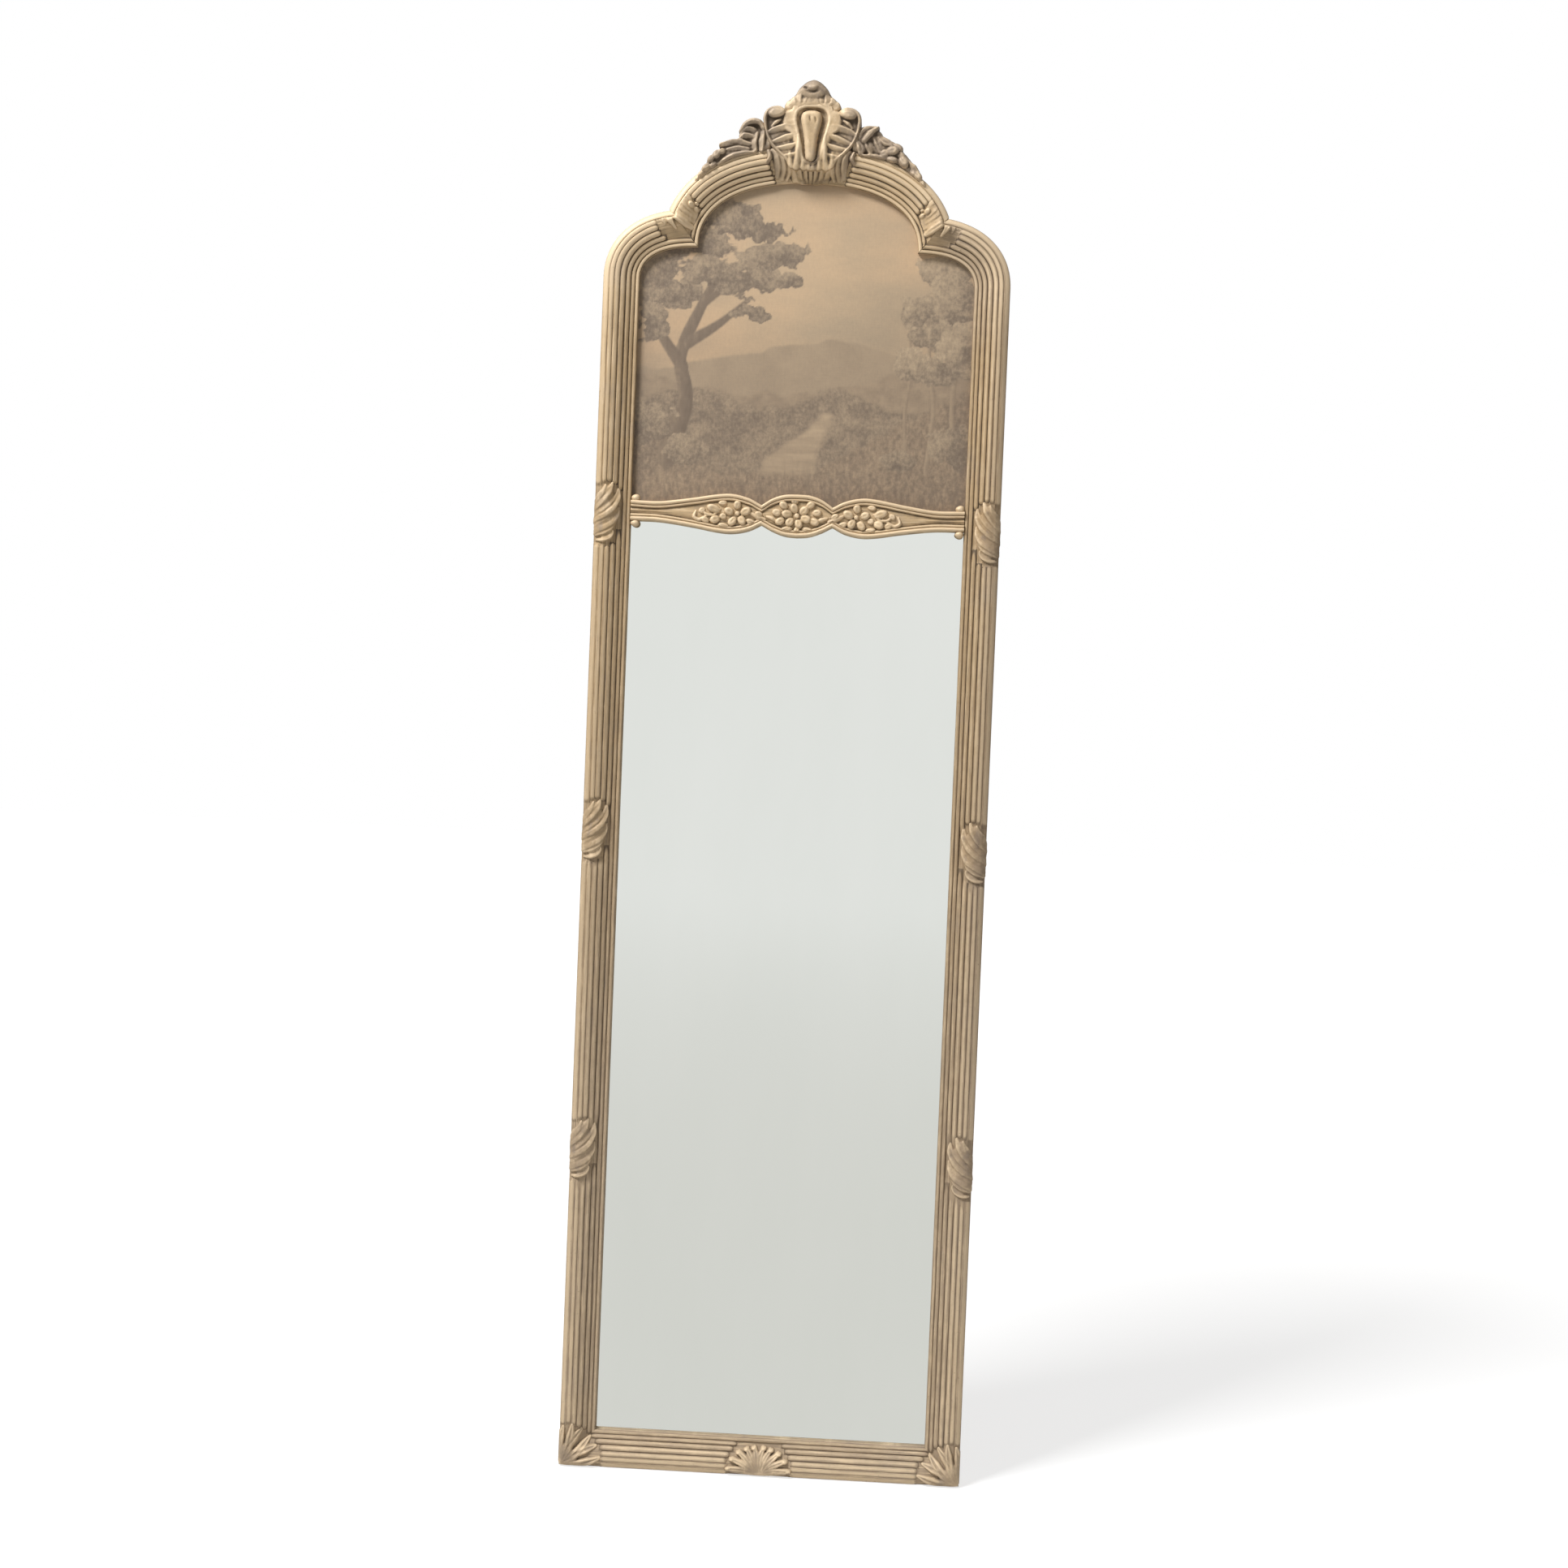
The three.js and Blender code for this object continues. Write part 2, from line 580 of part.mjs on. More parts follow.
function cartouche() {
  const flutes = Array.from({ length: 5 }, (_, k) => {
    const root = [17 - k * 1.1, 1669 - k * 9];
    const tip = [55 - k * 2.5 - k * k * 0.9, 1663 - k * 9.4];
    const middle = [(root[0] + tip[0]) / 2, (root[1] + tip[1]) / 2 + 1];
    return lobe([root, middle, tip], [3, 4.5, 4.5], 4.5, crestFront);
  });
  const scroll = lobe(scrollLine, scrollWidths, 7, crestFront - 1, 6, 18);
  const plate = prism(mirrored(cartoucheHalf), [crestFront, crestBack]);
  const carved = join([plate, ...both([...flutes, scroll])]);
  const recess = prism(mirrored(recessHalf), [carvedDepth[0], crestFront + recessDepth]);
  const holes = both([dowelHole(dowels.crest)]);
  return onArch([recess, ...holes].reduce((rest, cut) => rest.subtract(cut), carved));
}

function boss() {
  const pear = lobe([[0, 1625], [0, 1650], [0, 1687]], [5, 6.5, 9, 13, 12], 8, crestFront + 3, 12, 8);
  const inFront = [carvedDepth[0], crestFront + recessDepth - gap];
  return pear.intersect(box([-20, 20], inFront, [1600, 1700]));
}

function topLeaf() {
  const plate = prism(mirrored(topLeafHalf), [crestFront + 1, 14]);
  const leaves = both([
    lobe([[12, 1692], [13, 1702], [19, 1712]], [4, 5.5, 3], 5, crestFront),
    lobe([[17, 1691], [22, 1697], [27, 1704]], [3, 5, 3], 5, crestFront),
    lobe([[22, 1691.6], [29, 1693], [34, 1697]], [3, 3.5, 2], 4.5, crestFront),
  ]);
  const hoodLine = [[-19, 1708], [-11, 1718], [0, 1720.5], [11, 1718], [19, 1708]];
  const hood = lobe(hoodLine, [2, 3.2, 3.2, 2], 6, crestFront, 6, 8);
  const bud = pearl([0, 1713], [8.5, 6], 7, crestFront);
  const tongue = lobe([[0, 1692.5], [0, 1700], [0, 1709]], [6, 8, 4], 4, crestFront);
  const carved = join([plate, ...leaves, hood, bud, tongue]);
  return carved.subtract(cartoucheGrown);
}

function collar() {
  const fan = both([
    lobe([[7, 1622], [8, 1610], [11, 1597]], [4, 5, 4], 6),
    lobe([[14, 1622], [18, 1611], [22, 1599]], [4, 5, 4], 6),
    lobe([[20, 1623], [28, 1614], [34, 1603]], [4, 5, 4], 6),
    lobe([[26, 1626], [36, 1622], [42, 1612]], [4, 5, 3.5], 6),
    lobe([[36, 1627], [43, 1629], [49, 1624]], [3, 5, 4], 6),
  ]);
  const middle = lobe([[0, 1622], [0, 1610], [0, 1596]], [6, 7, 6], 7);
  const band = lobe([[-28, 1624], [0, 1618], [28, 1624]], [4, 6, 4], 5.5);
  const pad = wholeArch(coreFront(), gap + 1.5).intersect(prism(mirrored(collarHalf), carvedDepth));
  const carved = join([...fan, middle, band, pad]).intersect(prism(inset(collarSeat, gap), carvedDepth));
  return mainBody(onArch(carved).subtract(cartoucheGrown));
}

// Foliage that runs down the outer side of the arch from the cartouche, right-hand side.
function spray() {
  const depth = -1;
  const stem = [[58, 1647], [78, 1641], [98, 1635], [120, 1624], [140, 1607], [150, 1598]];
  const pieces = [
    lobe(stem, [5, 6, 6, 5, 3], 7, depth + 3, 6, 9),
    lobe([[60, 1646], [66, 1657], [78, 1668]], [5, 7.5, 3], 6, depth),
    lobe([[66, 1646], [77, 1656], [87, 1661]], [5, 7, 3], 6, depth),
    lobe([[62, 1644], [64, 1660], [66, 1674]], [4, 6, 3], 6, depth + 2),
    lobe([[74, 1642], [86, 1650], [96, 1652]], [5, 6, 4], 6, depth),
    pearl([97, 1637], [8, 6.5], 6, depth),
    pearl([107, 1641], [7, 7], 6, depth),
    pearl([111, 1628], [7, 7], 6, depth),
    lobe([[112, 1636], [119, 1632], [124, 1622]], [4, 5, 3], 5.5, depth),
    lobe([[112, 1626], [124, 1620], [134, 1613]], [4, 6, 3], 5.5, depth),
    lobe([[122, 1618], [133, 1610], [144, 1598]], [4, 5, 2.5], 5.5, depth),
  ];
  return onArch(join(pieces), reededFront()).subtract(cartoucheGrown);
}

const cartoucheSolid = cartouche();
// The cartouche's outline with the clearance that its neighbours keep.
const cartoucheGrown = join([
  cartoucheSolid,
  cartoucheSolid.translate([gap, 0, 0]),
  cartoucheSolid.translate([-gap, 0, 0]),
  cartoucheSolid.translate([0, 0, gap]),
  cartoucheSolid.translate([0, 0, -gap]),
]);

// Glass, picture and boards

const sheetReach = 6.5; // how far the sheets reach past the sight edge

// A sheet that fills the rebate above the rail.
function archedSheet(reach, bottom, yRange) {
  const out = (stations) => stations.map(({ x, z, nx, nz }) => [x + nx * reach, z + nz * reach]);
  const shoulderSide = out(shoulderCurve);
  const archSide = out(archCurve);
  const lower = [[-sightHalf - reach, bottom], [sightHalf + reach, bottom], ...shoulderSide];
  const upper = [[cuspX + reach, cuspZ - 30], ...archSide];
  const left = (points) => points.map(([x, z]) => [-x, z]).reverse();
  return join([
    prism([...lower, ...left(shoulderSide)], yRange),
    prism([...upper.slice(0, -1), ...left(upper)], yRange),
  ]);
}

function rectangle(reach, zRange, yRange) {
  return box([-sightHalf - reach, sightHalf + reach], yRange, zRange);
}

// Hangers

function strap() {
  const plateY = [backY + gap, backY + gap + strapThickness];
  const plate = box([hangerX - 7.5, hangerX + 7.5], plateY, [hangerZ - 44, hangerZ]);
  const boreRadius = wireRadius + gap;
  const profile = [[boreRadius, -4], [2.8, -4], [2.8, 4], [boreRadius, 4], [boreRadius, -4]];
  const tube = new THREE.LatheGeometry(profile.map((p) => new THREE.Vector2(...p)), 12);
  const barrel = solid(tube.rotateZ(Math.PI / 2).translate(hangerX, barrelY, hangerZ));
  const bore = bar([hangerX - 20, barrelY, hangerZ], [hangerX + 20, barrelY, hangerZ], boreRadius, 12);
  const holes = screwDrops.map((drop) => screwHole(drop, backY - 1, backY + 4));
  return [bore, ...holes].reduce((rest, hole) => rest.subtract(hole), join([plate, barrel]));
}

// A straight bar through the barrel, closed by a half-round bow.
function ring() {
  const steps = 10;
  const line = Array.from({ length: steps + 1 }, (_, i) => {
    const angle = Math.PI * (i / steps);
    const x = hangerX + ringHalfWidth * Math.cos(angle);
    return new THREE.Vector3(x, barrelY, hangerZ - ringDrop * Math.sin(angle));
  });
  const extrudePath = new THREE.CatmullRomCurve3(line);
  const round = new THREE.Shape().absarc(0, 0, wireRadius, 0, Math.PI * 2);
  const settings = { extrudePath, steps, curveSegments: 3, bevelEnabled: false };
  const tube = new THREE.ExtrudeGeometry(round, settings);
  const corners = [-1, 1].map((side) => [hangerX + side * ringHalfWidth, barrelY, hangerZ]);
  const ends = corners.map((corner) => {
    return solid(new THREE.SphereGeometry(wireRadius * 1.05, 6, 4).translate(...corner));
  });
  return join([solid(tube), bar(...corners, wireRadius, 6), ...ends]);
}

// A round-headed wood screw that points forwards into the back of the frame.
function screw(x, z, headY) {
  const shank = [[0, -screwLength], [0.6, -11], [screwRadius, -8], [screwRadius, 0]];
  const profile = [...shank, [3.4, 0], [3, 1.2], [1.4, 1.9], [0, 2]];
  const turned = new THREE.LatheGeometry(profile.map((p) => new THREE.Vector2(...p)), 8);
  return solid(turned.translate(x, headY, z));
}

// A panel pin with a small flat head, driven sideways into the wall of the rebate.
function pin(z) {
  const profile = [[0, 0], [pinRadius * 0.4, 0.2], [pinRadius, 2], [pinRadius, 12], [1, 12.2], [0, 12.8]];
  const turned = new THREE.LatheGeometry(profile.map((p) => new THREE.Vector2(...p)), 6);
  return solid(turned.rotateZ(Math.PI / 2).translate(pinRun[1], pinY, z));
}

// Materials

function finish(color, roughness, metalness) {
  return new THREE.MeshStandardMaterial({ color, roughness, metalness });
}

const gilt = finish(0xb49a70, 0.55, 0.25);
const carving = finish(0xa8906b, 0.55, 0.25);
const silvered = finish(0xcfd6d2, 0.04, 1);
const canvas = finish(0x8c7d66, 0.85, 0);
const board = finish(0x9a7750, 0.85, 0);
const dowelWood = finish(0xc2a272, 0.8, 0);
const steel = finish(0x8d8f90, 0.4, 0.9);
const brass = finish(0xa88a4c, 0.4, 0.9);

const mirror = new THREE.Group();

function add(name, body, material) {
  const mesh = new THREE.Mesh(surface(body), material);
  mesh.name = name;
  mirror.add(mesh);
}

function addPair(name, body, material) {
  add(`right_${name}`, body, material);
  add(`left_${name}`, mirrorX(body), material);
}

add("right_stile", stile(rightRibbons), gilt);
add("left_stile", mirrorX(stile(leftRibbons)), gilt);
add("bottom_rail", bottomRail(), gilt);
addPair("shoulder", shoulder(), gilt);
addPair("arch", arch(), gilt);
ribbonNames.forEach((name, i) => {
  add(`right_${name}_ribbon`, ribbon(rightRibbons[i]), carving);
  add(`left_${name}_ribbon`, mirrorX(ribbon(leftRibbons[i])), carving);
});
addPair("corner_leaf", cornerLeaf(), carving);
addPair("cusp_leaf", cuspLeaf(), carving);
add("bottom_palmette", palmette(), carving);

const rail = middleRail();
add("middle_rail", rail, gilt);
add("rail_right_flower", railFlower(rail, 1), carving);
add("rail_left_flower", railFlower(rail, -1), carving);
add("rail_posy", railPosy(rail), carving);

add("crest_cartouche", cartoucheSolid, carving);
add("crest_boss", boss(), carving);
add("crest_top_leaf", topLeaf(), carving);
add("crest_collar", collar(), carving);
const foliage = spray();
add("crest_right_spray", foliage, carving);
add("crest_left_spray", mirrorX(foliage), carving);

const glassFront = lipY + gap;
const boardBack = lipY + 8.6;
const mirrorRange = [mouldingWidth - sheetReach, mirrorTop];
add("mirror_plate", rectangle(sheetReach, mirrorRange, [glassFront, glassFront + 4]), silvered);
add("mirror_backboard", rectangle(sheetReach, mirrorRange, [glassFront + 4.3, boardBack]), board);
add("picture_panel", archedSheet(sheetReach, panelBottom, [glassFront, glassFront + 3]), canvas);
add("picture_backboard", archedSheet(sheetReach, panelBottom, [glassFront + 3.3, boardBack]), board);

mirrorPins.forEach((z, i) => addPair(`mirror_pin_${i + 1}`, pin(z), steel));
picturePins.forEach((z, i) => addPair(`picture_pin_${i + 1}`, pin(z), steel));
addPair("hanger_strap", strap(), brass);
addPair("hanger_ring", ring(), brass);
screwDrops.forEach((drop, i) => {
  const headY = backY + 2 * gap + strapThickness;
  addPair(`hanger_screw_${i + 1}`, screw(hangerX, hangerZ - drop, headY), steel);
});
for (const name of ["bottom", "shoulder", "cusp", "crest"]) {
  addPair(`${name}_dowel`, bar(...dowels[name], dowelRadius), dowelWood);
}
add("arch_dowel", bar(...dowels.arch, dowelRadius), dowelWood);

mirror.position.y = -originDepth;

export default mirror;
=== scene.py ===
import json
import math
import bpy
import numpy as np
from mathutils import Matrix, Vector


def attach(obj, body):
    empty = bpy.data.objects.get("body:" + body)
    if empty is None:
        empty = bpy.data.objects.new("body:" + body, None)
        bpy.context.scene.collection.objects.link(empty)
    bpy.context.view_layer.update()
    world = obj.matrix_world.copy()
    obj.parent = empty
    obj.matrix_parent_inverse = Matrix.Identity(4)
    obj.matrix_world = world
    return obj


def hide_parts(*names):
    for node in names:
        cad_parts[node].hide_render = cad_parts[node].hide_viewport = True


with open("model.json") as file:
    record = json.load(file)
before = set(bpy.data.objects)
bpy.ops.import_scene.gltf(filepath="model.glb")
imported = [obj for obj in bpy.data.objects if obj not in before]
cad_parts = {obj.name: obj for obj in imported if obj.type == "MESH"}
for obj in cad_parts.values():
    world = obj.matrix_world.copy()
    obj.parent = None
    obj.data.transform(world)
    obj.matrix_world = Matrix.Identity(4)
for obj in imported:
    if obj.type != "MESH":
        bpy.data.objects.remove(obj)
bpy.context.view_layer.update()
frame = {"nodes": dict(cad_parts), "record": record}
print("frame loaded:", len(frame["nodes"]), "nodes")

# Shapes are worked out in millimetres: x across, z up, depth 0 at the crown of the moulding.
sketch = {"depthOfOrigin": 19.0, "scale": 0.001, "mainBody": "frame"}


# A mesh piece from points (n by 3, millimetres) and quads (m by 4), with extra closing faces.
def makePiece(name, points, quads, material, standsFor, values=None, caps=(), sharpAngle=38):
    metres = (np.asarray(points, float) - [0, sketch["depthOfOrigin"], 0]) * sketch["scale"]
    quads = np.asarray(quads, np.int64)
    a, b, c, d = (metres[quads[:, k]] for k in range(4))
    volume = (a * (np.cross(b, c) + np.cross(c, d))).sum()
    if volume < 0:
        quads = quads[:, ::-1]
        caps = [cap[::-1] for cap in caps]
    loops = np.concatenate([quads.ravel()] + [np.asarray(cap) for cap in caps])
    counts = np.concatenate([np.full(len(quads), 4)] + [[len(cap)] for cap in caps]).astype(np.int32)
    starts = np.concatenate([[0], np.cumsum(counts)[:-1]]).astype(np.int32)
    mesh = bpy.data.meshes.new(name)
    mesh.vertices.add(len(metres))
    mesh.vertices.foreach_set("co", metres.astype(np.float32).ravel())
    mesh.loops.add(len(loops))
    mesh.loops.foreach_set("vertex_index", loops.astype(np.int32))
    mesh.polygons.add(len(counts))
    mesh.polygons.foreach_set("loop_start", starts)
    mesh.update(calc_edges=True)
    mesh.validate()
    mesh.polygons.foreach_set("use_smooth", np.ones(len(mesh.polygons), bool))
    mesh.set_sharp_from_angle(angle=math.radians(sharpAngle))
    for key, value in (values or {}).items():
        value = np.asarray(value, np.float32)
        kind, field = ("FLOAT", "value") if value.ndim == 1 else ("FLOAT_VECTOR", "vector")
        mesh.attributes.new(key, kind, "POINT").data.foreach_set(field, value.ravel())
    mesh.materials.append(material)
    piece = bpy.data.objects.new(name, mesh)
    bpy.context.scene.collection.objects.link(piece)
    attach(piece, sketch["mainBody"])
    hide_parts(*standsFor)
    return piece


# A smooth line through points: each stretch is a Catmull-Rom cubic.
def smoothLine(points, perStretch=8):
    p = np.asarray(points, float)
    p = np.vstack([2 * p[0] - p[1], p, 2 * p[-1] - p[-2]])
    t = np.linspace(0, 1, perStretch, endpoint=False)[None, :, None]
    a, b, c, d = (p[k:len(p) - 3 + k][:, None, :] for k in range(4))
    line = 0.5 * (2 * b + (c - a) * t + (2 * a - 5 * b + 4 * c - d) * t ** 2
                  + (3 * b - a - 3 * c + d) * t ** 3)
    return np.vstack([line.reshape(-1, p.shape[1]), p[-2]])


# For each place and each stretch of a line: the share along the stretch where it comes nearest, and
# the way across and up from there.
def nearLine(x, z, line):
    start, side = line[:-1], np.diff(line, axis=0)
    dx, dz = x[..., None] - start[:, 0], z[..., None] - start[:, 1]
    k = np.clip((dx * side[:, 0] + dz * side[:, 1]) / np.maximum((side ** 2).sum(1), 1e-12), 0, 1)
    return k, dx - k * side[:, 0], dz - k * side[:, 1]


# Signed distance to a closed outline, negative inside: least distance to its sides, with the
# sign from the crossings of a ray.
def outlineDistance(x, z, outline):
    line = np.asarray(list(outline) + [outline[0]], float)
    a, b = line[:-1], line[1:]
    k, ex, ez = nearLine(x, z, line)
    distance = np.hypot(ex, ez).min(-1)
    spans = (a[:, 1] > z[..., None]) != (b[:, 1] > z[..., None])
    slope = (b - a)[:, 0] / np.where(a[:, 1] == b[:, 1], 1e-9, (b - a)[:, 1])
    crosses = spans & (x[..., None] - a[:, 0] < (z[..., None] - a[:, 1]) * slope)
    return np.where(crosses.sum(-1) % 2 == 1, -distance, distance)


# Shares 0 to 1 along a list, and the value there.
def shared(t, values):
    return np.interp(t, np.linspace(0, 1, len(values)), values)


# Smooth random values from -1 to 1: hashed lattice values, blended with a smooth step.
def softNoise(x, z, size, seed=0, octaves=3):
    total, weight, strength = 0.0, 0.0, 1.0
    for octave in range(octaves):
        u, v = x / size * 2 ** octave, z / size * 2 ** octave
        iu, iv = np.floor(u), np.floor(v)
        fu, fv = u - iu, v - iv
        fu, fv = fu * fu * (3 - 2 * fu), fv * fv * (3 - 2 * fv)

        def corner(du, dv):
            value = np.sin((iu + du) * 127.1 + (iv + dv) * 311.7 + (seed + octave) * 74.7) * 43758.5453
            return value - np.floor(value)

        low = corner(0, 0) * (1 - fu) + corner(1, 0) * fu
        high = corner(0, 1) * (1 - fu) + corner(1, 1) * fu
        total = total + strength * (low * (1 - fv) + high * fv)
        weight += strength
        strength *= 0.5
    return total / weight * 2 - 1


def smoothStep(low, high, value):
    t = np.clip((value - low) / (high - low), 0, 1)
    return t * t * (3 - 2 * t)


# Gaussian blur of a field, done as a product of its Fourier transform.
def blurred(field, sigma):
    fz = np.fft.fftfreq(field.shape[0])[:, None]
    fx = np.fft.rfftfreq(field.shape[1])[None, :]
    kernel = np.exp(-2 * (np.pi * sigma) ** 2 * (fz ** 2 + fx ** 2))
    return np.fft.irfft2(np.fft.rfft2(field) * kernel, s=field.shape)


def newMaterial(name):
    material = bpy.data.materials.new(name)
    material.use_nodes = True
    nodes = material.node_tree.nodes
    nodes.clear()
    output = nodes.new("ShaderNodeOutputMaterial")
    shader = nodes.new("ShaderNodeBsdfPrincipled")
    material.node_tree.links.new(shader.outputs["BSDF"], output.inputs["Surface"])
    return material, shader


# Sets a node's input to a value, or links it to another node's output.
def feed(tree, made, key, value):
    if isinstance(value, bpy.types.NodeSocket):
        tree.links.new(value, made.inputs[key])
    else:
        made.inputs[key].default_value = value


# Nodes are written as short calls: node(tree, type, settings, inputs).
def node(tree, kind, settings=None, **inputs):
    made = tree.nodes.new("ShaderNode" + kind)
    for key, value in (settings or {}).items():
        setattr(made, key, value)
    for key, value in inputs.items():
        feed(tree, made, int(key[1:]) if key[1:].isdigit() else key.replace("_", " "), value)
    return made


def mathNode(tree, operation, a, b=0.5, clamp=False):
    return node(tree, "Math", {"operation": operation, "use_clamp": clamp}, i0=a, i1=b).outputs[0]


def plus(tree, a, b, clamp=False):
    return mathNode(tree, "ADD", a, b, clamp)


def most(tree, a, b):
    return mathNode(tree, "MAXIMUM", a, b)


def times(tree, value, *factors):
    for factor in factors:
        value = mathNode(tree, "MULTIPLY", value, factor)
    return value


# What a share leaves of the whole: whole - value * amount.
def left(tree, value, amount, whole=1.0):
    return mathNode(tree, "SUBTRACT", whole, times(tree, value, amount))


# Grain on a value: value + (grain - 0.5) * amount.
def grained(tree, value, grain, amount, clamp=False):
    return plus(tree, value, times(tree, mathNode(tree, "SUBTRACT", grain, 0.5), amount), clamp)


def mixColor(tree, factor, a, b, blend="MIX"):
    settings = {"data_type": "RGBA", "blend_type": blend, "clamp_factor": True}
    return node(tree, "Mix", settings, i0=factor, i6=a, i7=b).outputs[2]


def remap(tree, value, fromLow, fromHigh, toLow=0.0, toHigh=1.0):
    return node(tree, "MapRange", {"interpolation_type": "SMOOTHSTEP"}, Value=value, From_Min=fromLow,
                From_Max=fromHigh, To_Min=toLow, To_Max=toHigh).outputs["Result"]


def noise(tree, vector, scale, detail=4.0, rough=0.55):
    made = node(tree, "TexNoise", None, Vector=vector, Scale=scale, Detail=detail, Roughness=rough)
    return made.outputs["Fac"]


def axis(tree, place, name):
    return node(tree, "SeparateXYZ", None, Vector=place).outputs[name]


def scaled(tree, place, scale):
    return node(tree, "Mapping", None, Vector=place, Scale=scale).outputs[0]


def attribute(tree, name):
    return node(tree, "Attribute", {"attribute_name": name}).outputs


# A node group: an input is a number, a colour, or None for a place, with its first value.
def newGroup(name, inputs, outputs):
    group = bpy.data.node_groups.new(name, "ShaderNodeTree")
    for label, value in inputs.items():
        kind = "Vector" if value is None else "Color" if isinstance(value, tuple) else "Float"
        socket = group.interface.new_socket(name=label, in_out="INPUT", socket_type="NodeSocket" + kind)
        if value is not None:
            socket.default_value = value
    for label in outputs:
        kind = "Color" if label == "Color" else "Float"
        group.interface.new_socket(name=label, in_out="OUTPUT", socket_type="NodeSocket" + kind)
    return group, group.nodes.new("NodeGroupInput").outputs


def giveOut(group, **values):
    sink = group.nodes.new("NodeGroupOutput")
    for label, value in values.items():
        group.links.new(value, sink.inputs[label])
    return group


# Where the gilding changes, in metres across or up: from, to, and the values there.
wear = {
    "greyFoot": (0.55, 1.45, 0.75, 0.0),
    "stileEdge": (0.2035, 0.2085), "stileTop": (1.50, 1.40), "stileFoot": (0.05, 0.95, 0.25, 1.0),
    "railEnds": (0.208, 0.204), "railFoot": (1.10, 1.16), "archFoot": (1.46, 1.53),
    "leftSide": (0.04, -0.04), "leftArch": (1.40, 1.52),
    "rightShoulder": (0.13, 0.19), "shoulderFoot": (1.38, 1.48),
    "outerReeds": (0.226, 0.240, 0.0, 0.7), "outerFoot": (0.1, 0.6),
    "crestSides": (0.020, 0.054), "crestTop": (1.680, 1.716), "crestFoot": (1.59, 1.62),
}


# Worn gilding with painted light: the relief value shades from grime and painted shade in the
# hollows through old gold to rubbed gesso and a painted highlight on the ridges, broken up by
# grain, streaks and patches.
def wornGildingAndPaintedLight():
    group, get = newGroup("worn gilding and painted light", {
        "Relief": 0.5, "Place": None, "Streak Place": None,
        "Grime": (0.085, 0.060, 0.038, 1), "Gold": (0.455, 0.322, 0.178, 1),
        "Rubbed": (0.69, 0.535, 0.352, 1), "Grey Base": (0.375, 0.288, 0.205, 1),
        "Dust": (0.265, 0.207, 0.158, 1),
        "Dust Amount": 0.0, "Grime Amount": 1.0, "Rub Amount": 1.0,
    }, ["Color", "Roughness", "Metal", "Height"])
    place = get["Place"]
    patches = noise(group, place, 9.0, 5.0, 0.6)
    speckle = noise(group, place, 420.0, 3.0, 0.6)
    fine = noise(group, place, 95.0, 5.0, 0.65)
    streaks = noise(group, get["Streak Place"], 1.0, 5.0, 0.6)
    relief = grained(group, grained(group, get["Relief"], fine, 0.34), streaks, 0.30)
    side, height = axis(group, place, "X"), axis(group, place, "Z")
    aside = mathNode(group, "ABSOLUTE", side)

    def worn(value, key):
        return remap(group, value, *wear[key])

    # the lower half is greyer: less of the yellow shows near the floor
    low = worn(plus(group, height, times(group, patches, 0.5)), "greyFoot")
    gold = mixColor(group, low, get["Gold"], get["Grey Base"])
    gold = mixColor(group, remap(group, patches, 0.50, 0.70, 0.0, 0.65), gold, get["Grey Base"])
    gold = mixColor(group, remap(group, streaks, 0.5, 0.68, 0.0, 0.65), gold, get["Rubbed"])
    gold = mixColor(group, remap(group, streaks, 0.47, 0.32, 0.0, 0.6), gold, get["Dust"])
    # the arch and the cross rail are painted paler on their ridges: on the arch it is painted sheen of the
    # light from above
    rail = times(group, worn(aside, "railEnds"), worn(height, "railFoot"))
    bright = most(group, rail, worn(height, "archFoot"))
    bright = times(group, bright, 0.38, remap(group, get["Relief"], 0.3, 0.8))
    gold = mixColor(group, bright, gold, get["Rubbed"])
    # painted light from the upper left: the left side of the arch is painted paler, and the right shoulder
    # and the right outer reeds get painted shade in the dust colour
    leftSide = worn(side, "leftSide")
    pale = times(group, leftSide, worn(height, "leftArch"), 0.55, remap(group, get["Relief"], 0.2, 0.7))
    gold = mixColor(group, pale, gold, get["Rubbed"])
    shoulder = times(group, worn(side, "rightShoulder"), worn(height, "shoulderFoot"))
    outer = times(group, worn(side, "outerReeds"), worn(height, "outerFoot"))
    gold = mixColor(group, times(group, most(group, shoulder, outer), 0.5), gold, get["Dust"])
    # painted shade: the stiles are darker and browner than the arch, the right one most, away from the light
    handled = times(group, worn(aside, "stileEdge"), worn(height, "stileTop"), worn(height, "stileFoot"))
    brown = mixColor(group, 1.0, gold, (0.74, 0.72, 0.70, 1), "MULTIPLY")
    gold = mixColor(group, times(group, handled, left(group, leftSide, 0.4, 0.95)), gold, brown)
    # dust and smoke have settled on the carving at the very top
    dusty = most(group, worn(aside, "crestSides"), worn(height, "crestTop"))
    dusty = times(group, dusty, worn(height, "crestFoot"), get["Dust Amount"],
                  remap(group, fine, 0.35, 0.6, 0.72, 1.05))
    gold = mixColor(group, dusty, gold, get["Dust"])
    # painted shade in the hollows along with real grime, and a painted highlight on the ridges along with
    # real wear
    grimeAndShade = times(group, remap(group, relief, 0.46, 0.08), get["Grime Amount"], left(group, low, 0.5))
    rubAndHighlight = times(group, remap(group, relief, 0.6, 0.95), get["Rub Amount"], left(group, dusty, 0.95),
                   left(group, handled, 0.45))
    color = mixColor(group, rubAndHighlight, mixColor(group, grimeAndShade, gold, get["Grime"]), get["Rubbed"])
    color = mixColor(group, remap(group, speckle, 0.66, 0.74, 0.0, 0.5), color, get["Grime"])
    rough = plus(group, times(group, fine, 0.25), remap(group, relief, 0.1, 0.9, 0.60, 0.42))
    metal = times(group, left(group, grimeAndShade, 1.0), remap(group, patches, 0.35, 0.65, 0.20, 0.06))
    bumps = plus(group, times(group, fine, 0.7), times(group, speckle, 0.12))
    return giveOut(group, Color=color, Roughness=rough, Metal=metal,
                   Height=plus(group, bumps, times(group, streaks, 0.35)))


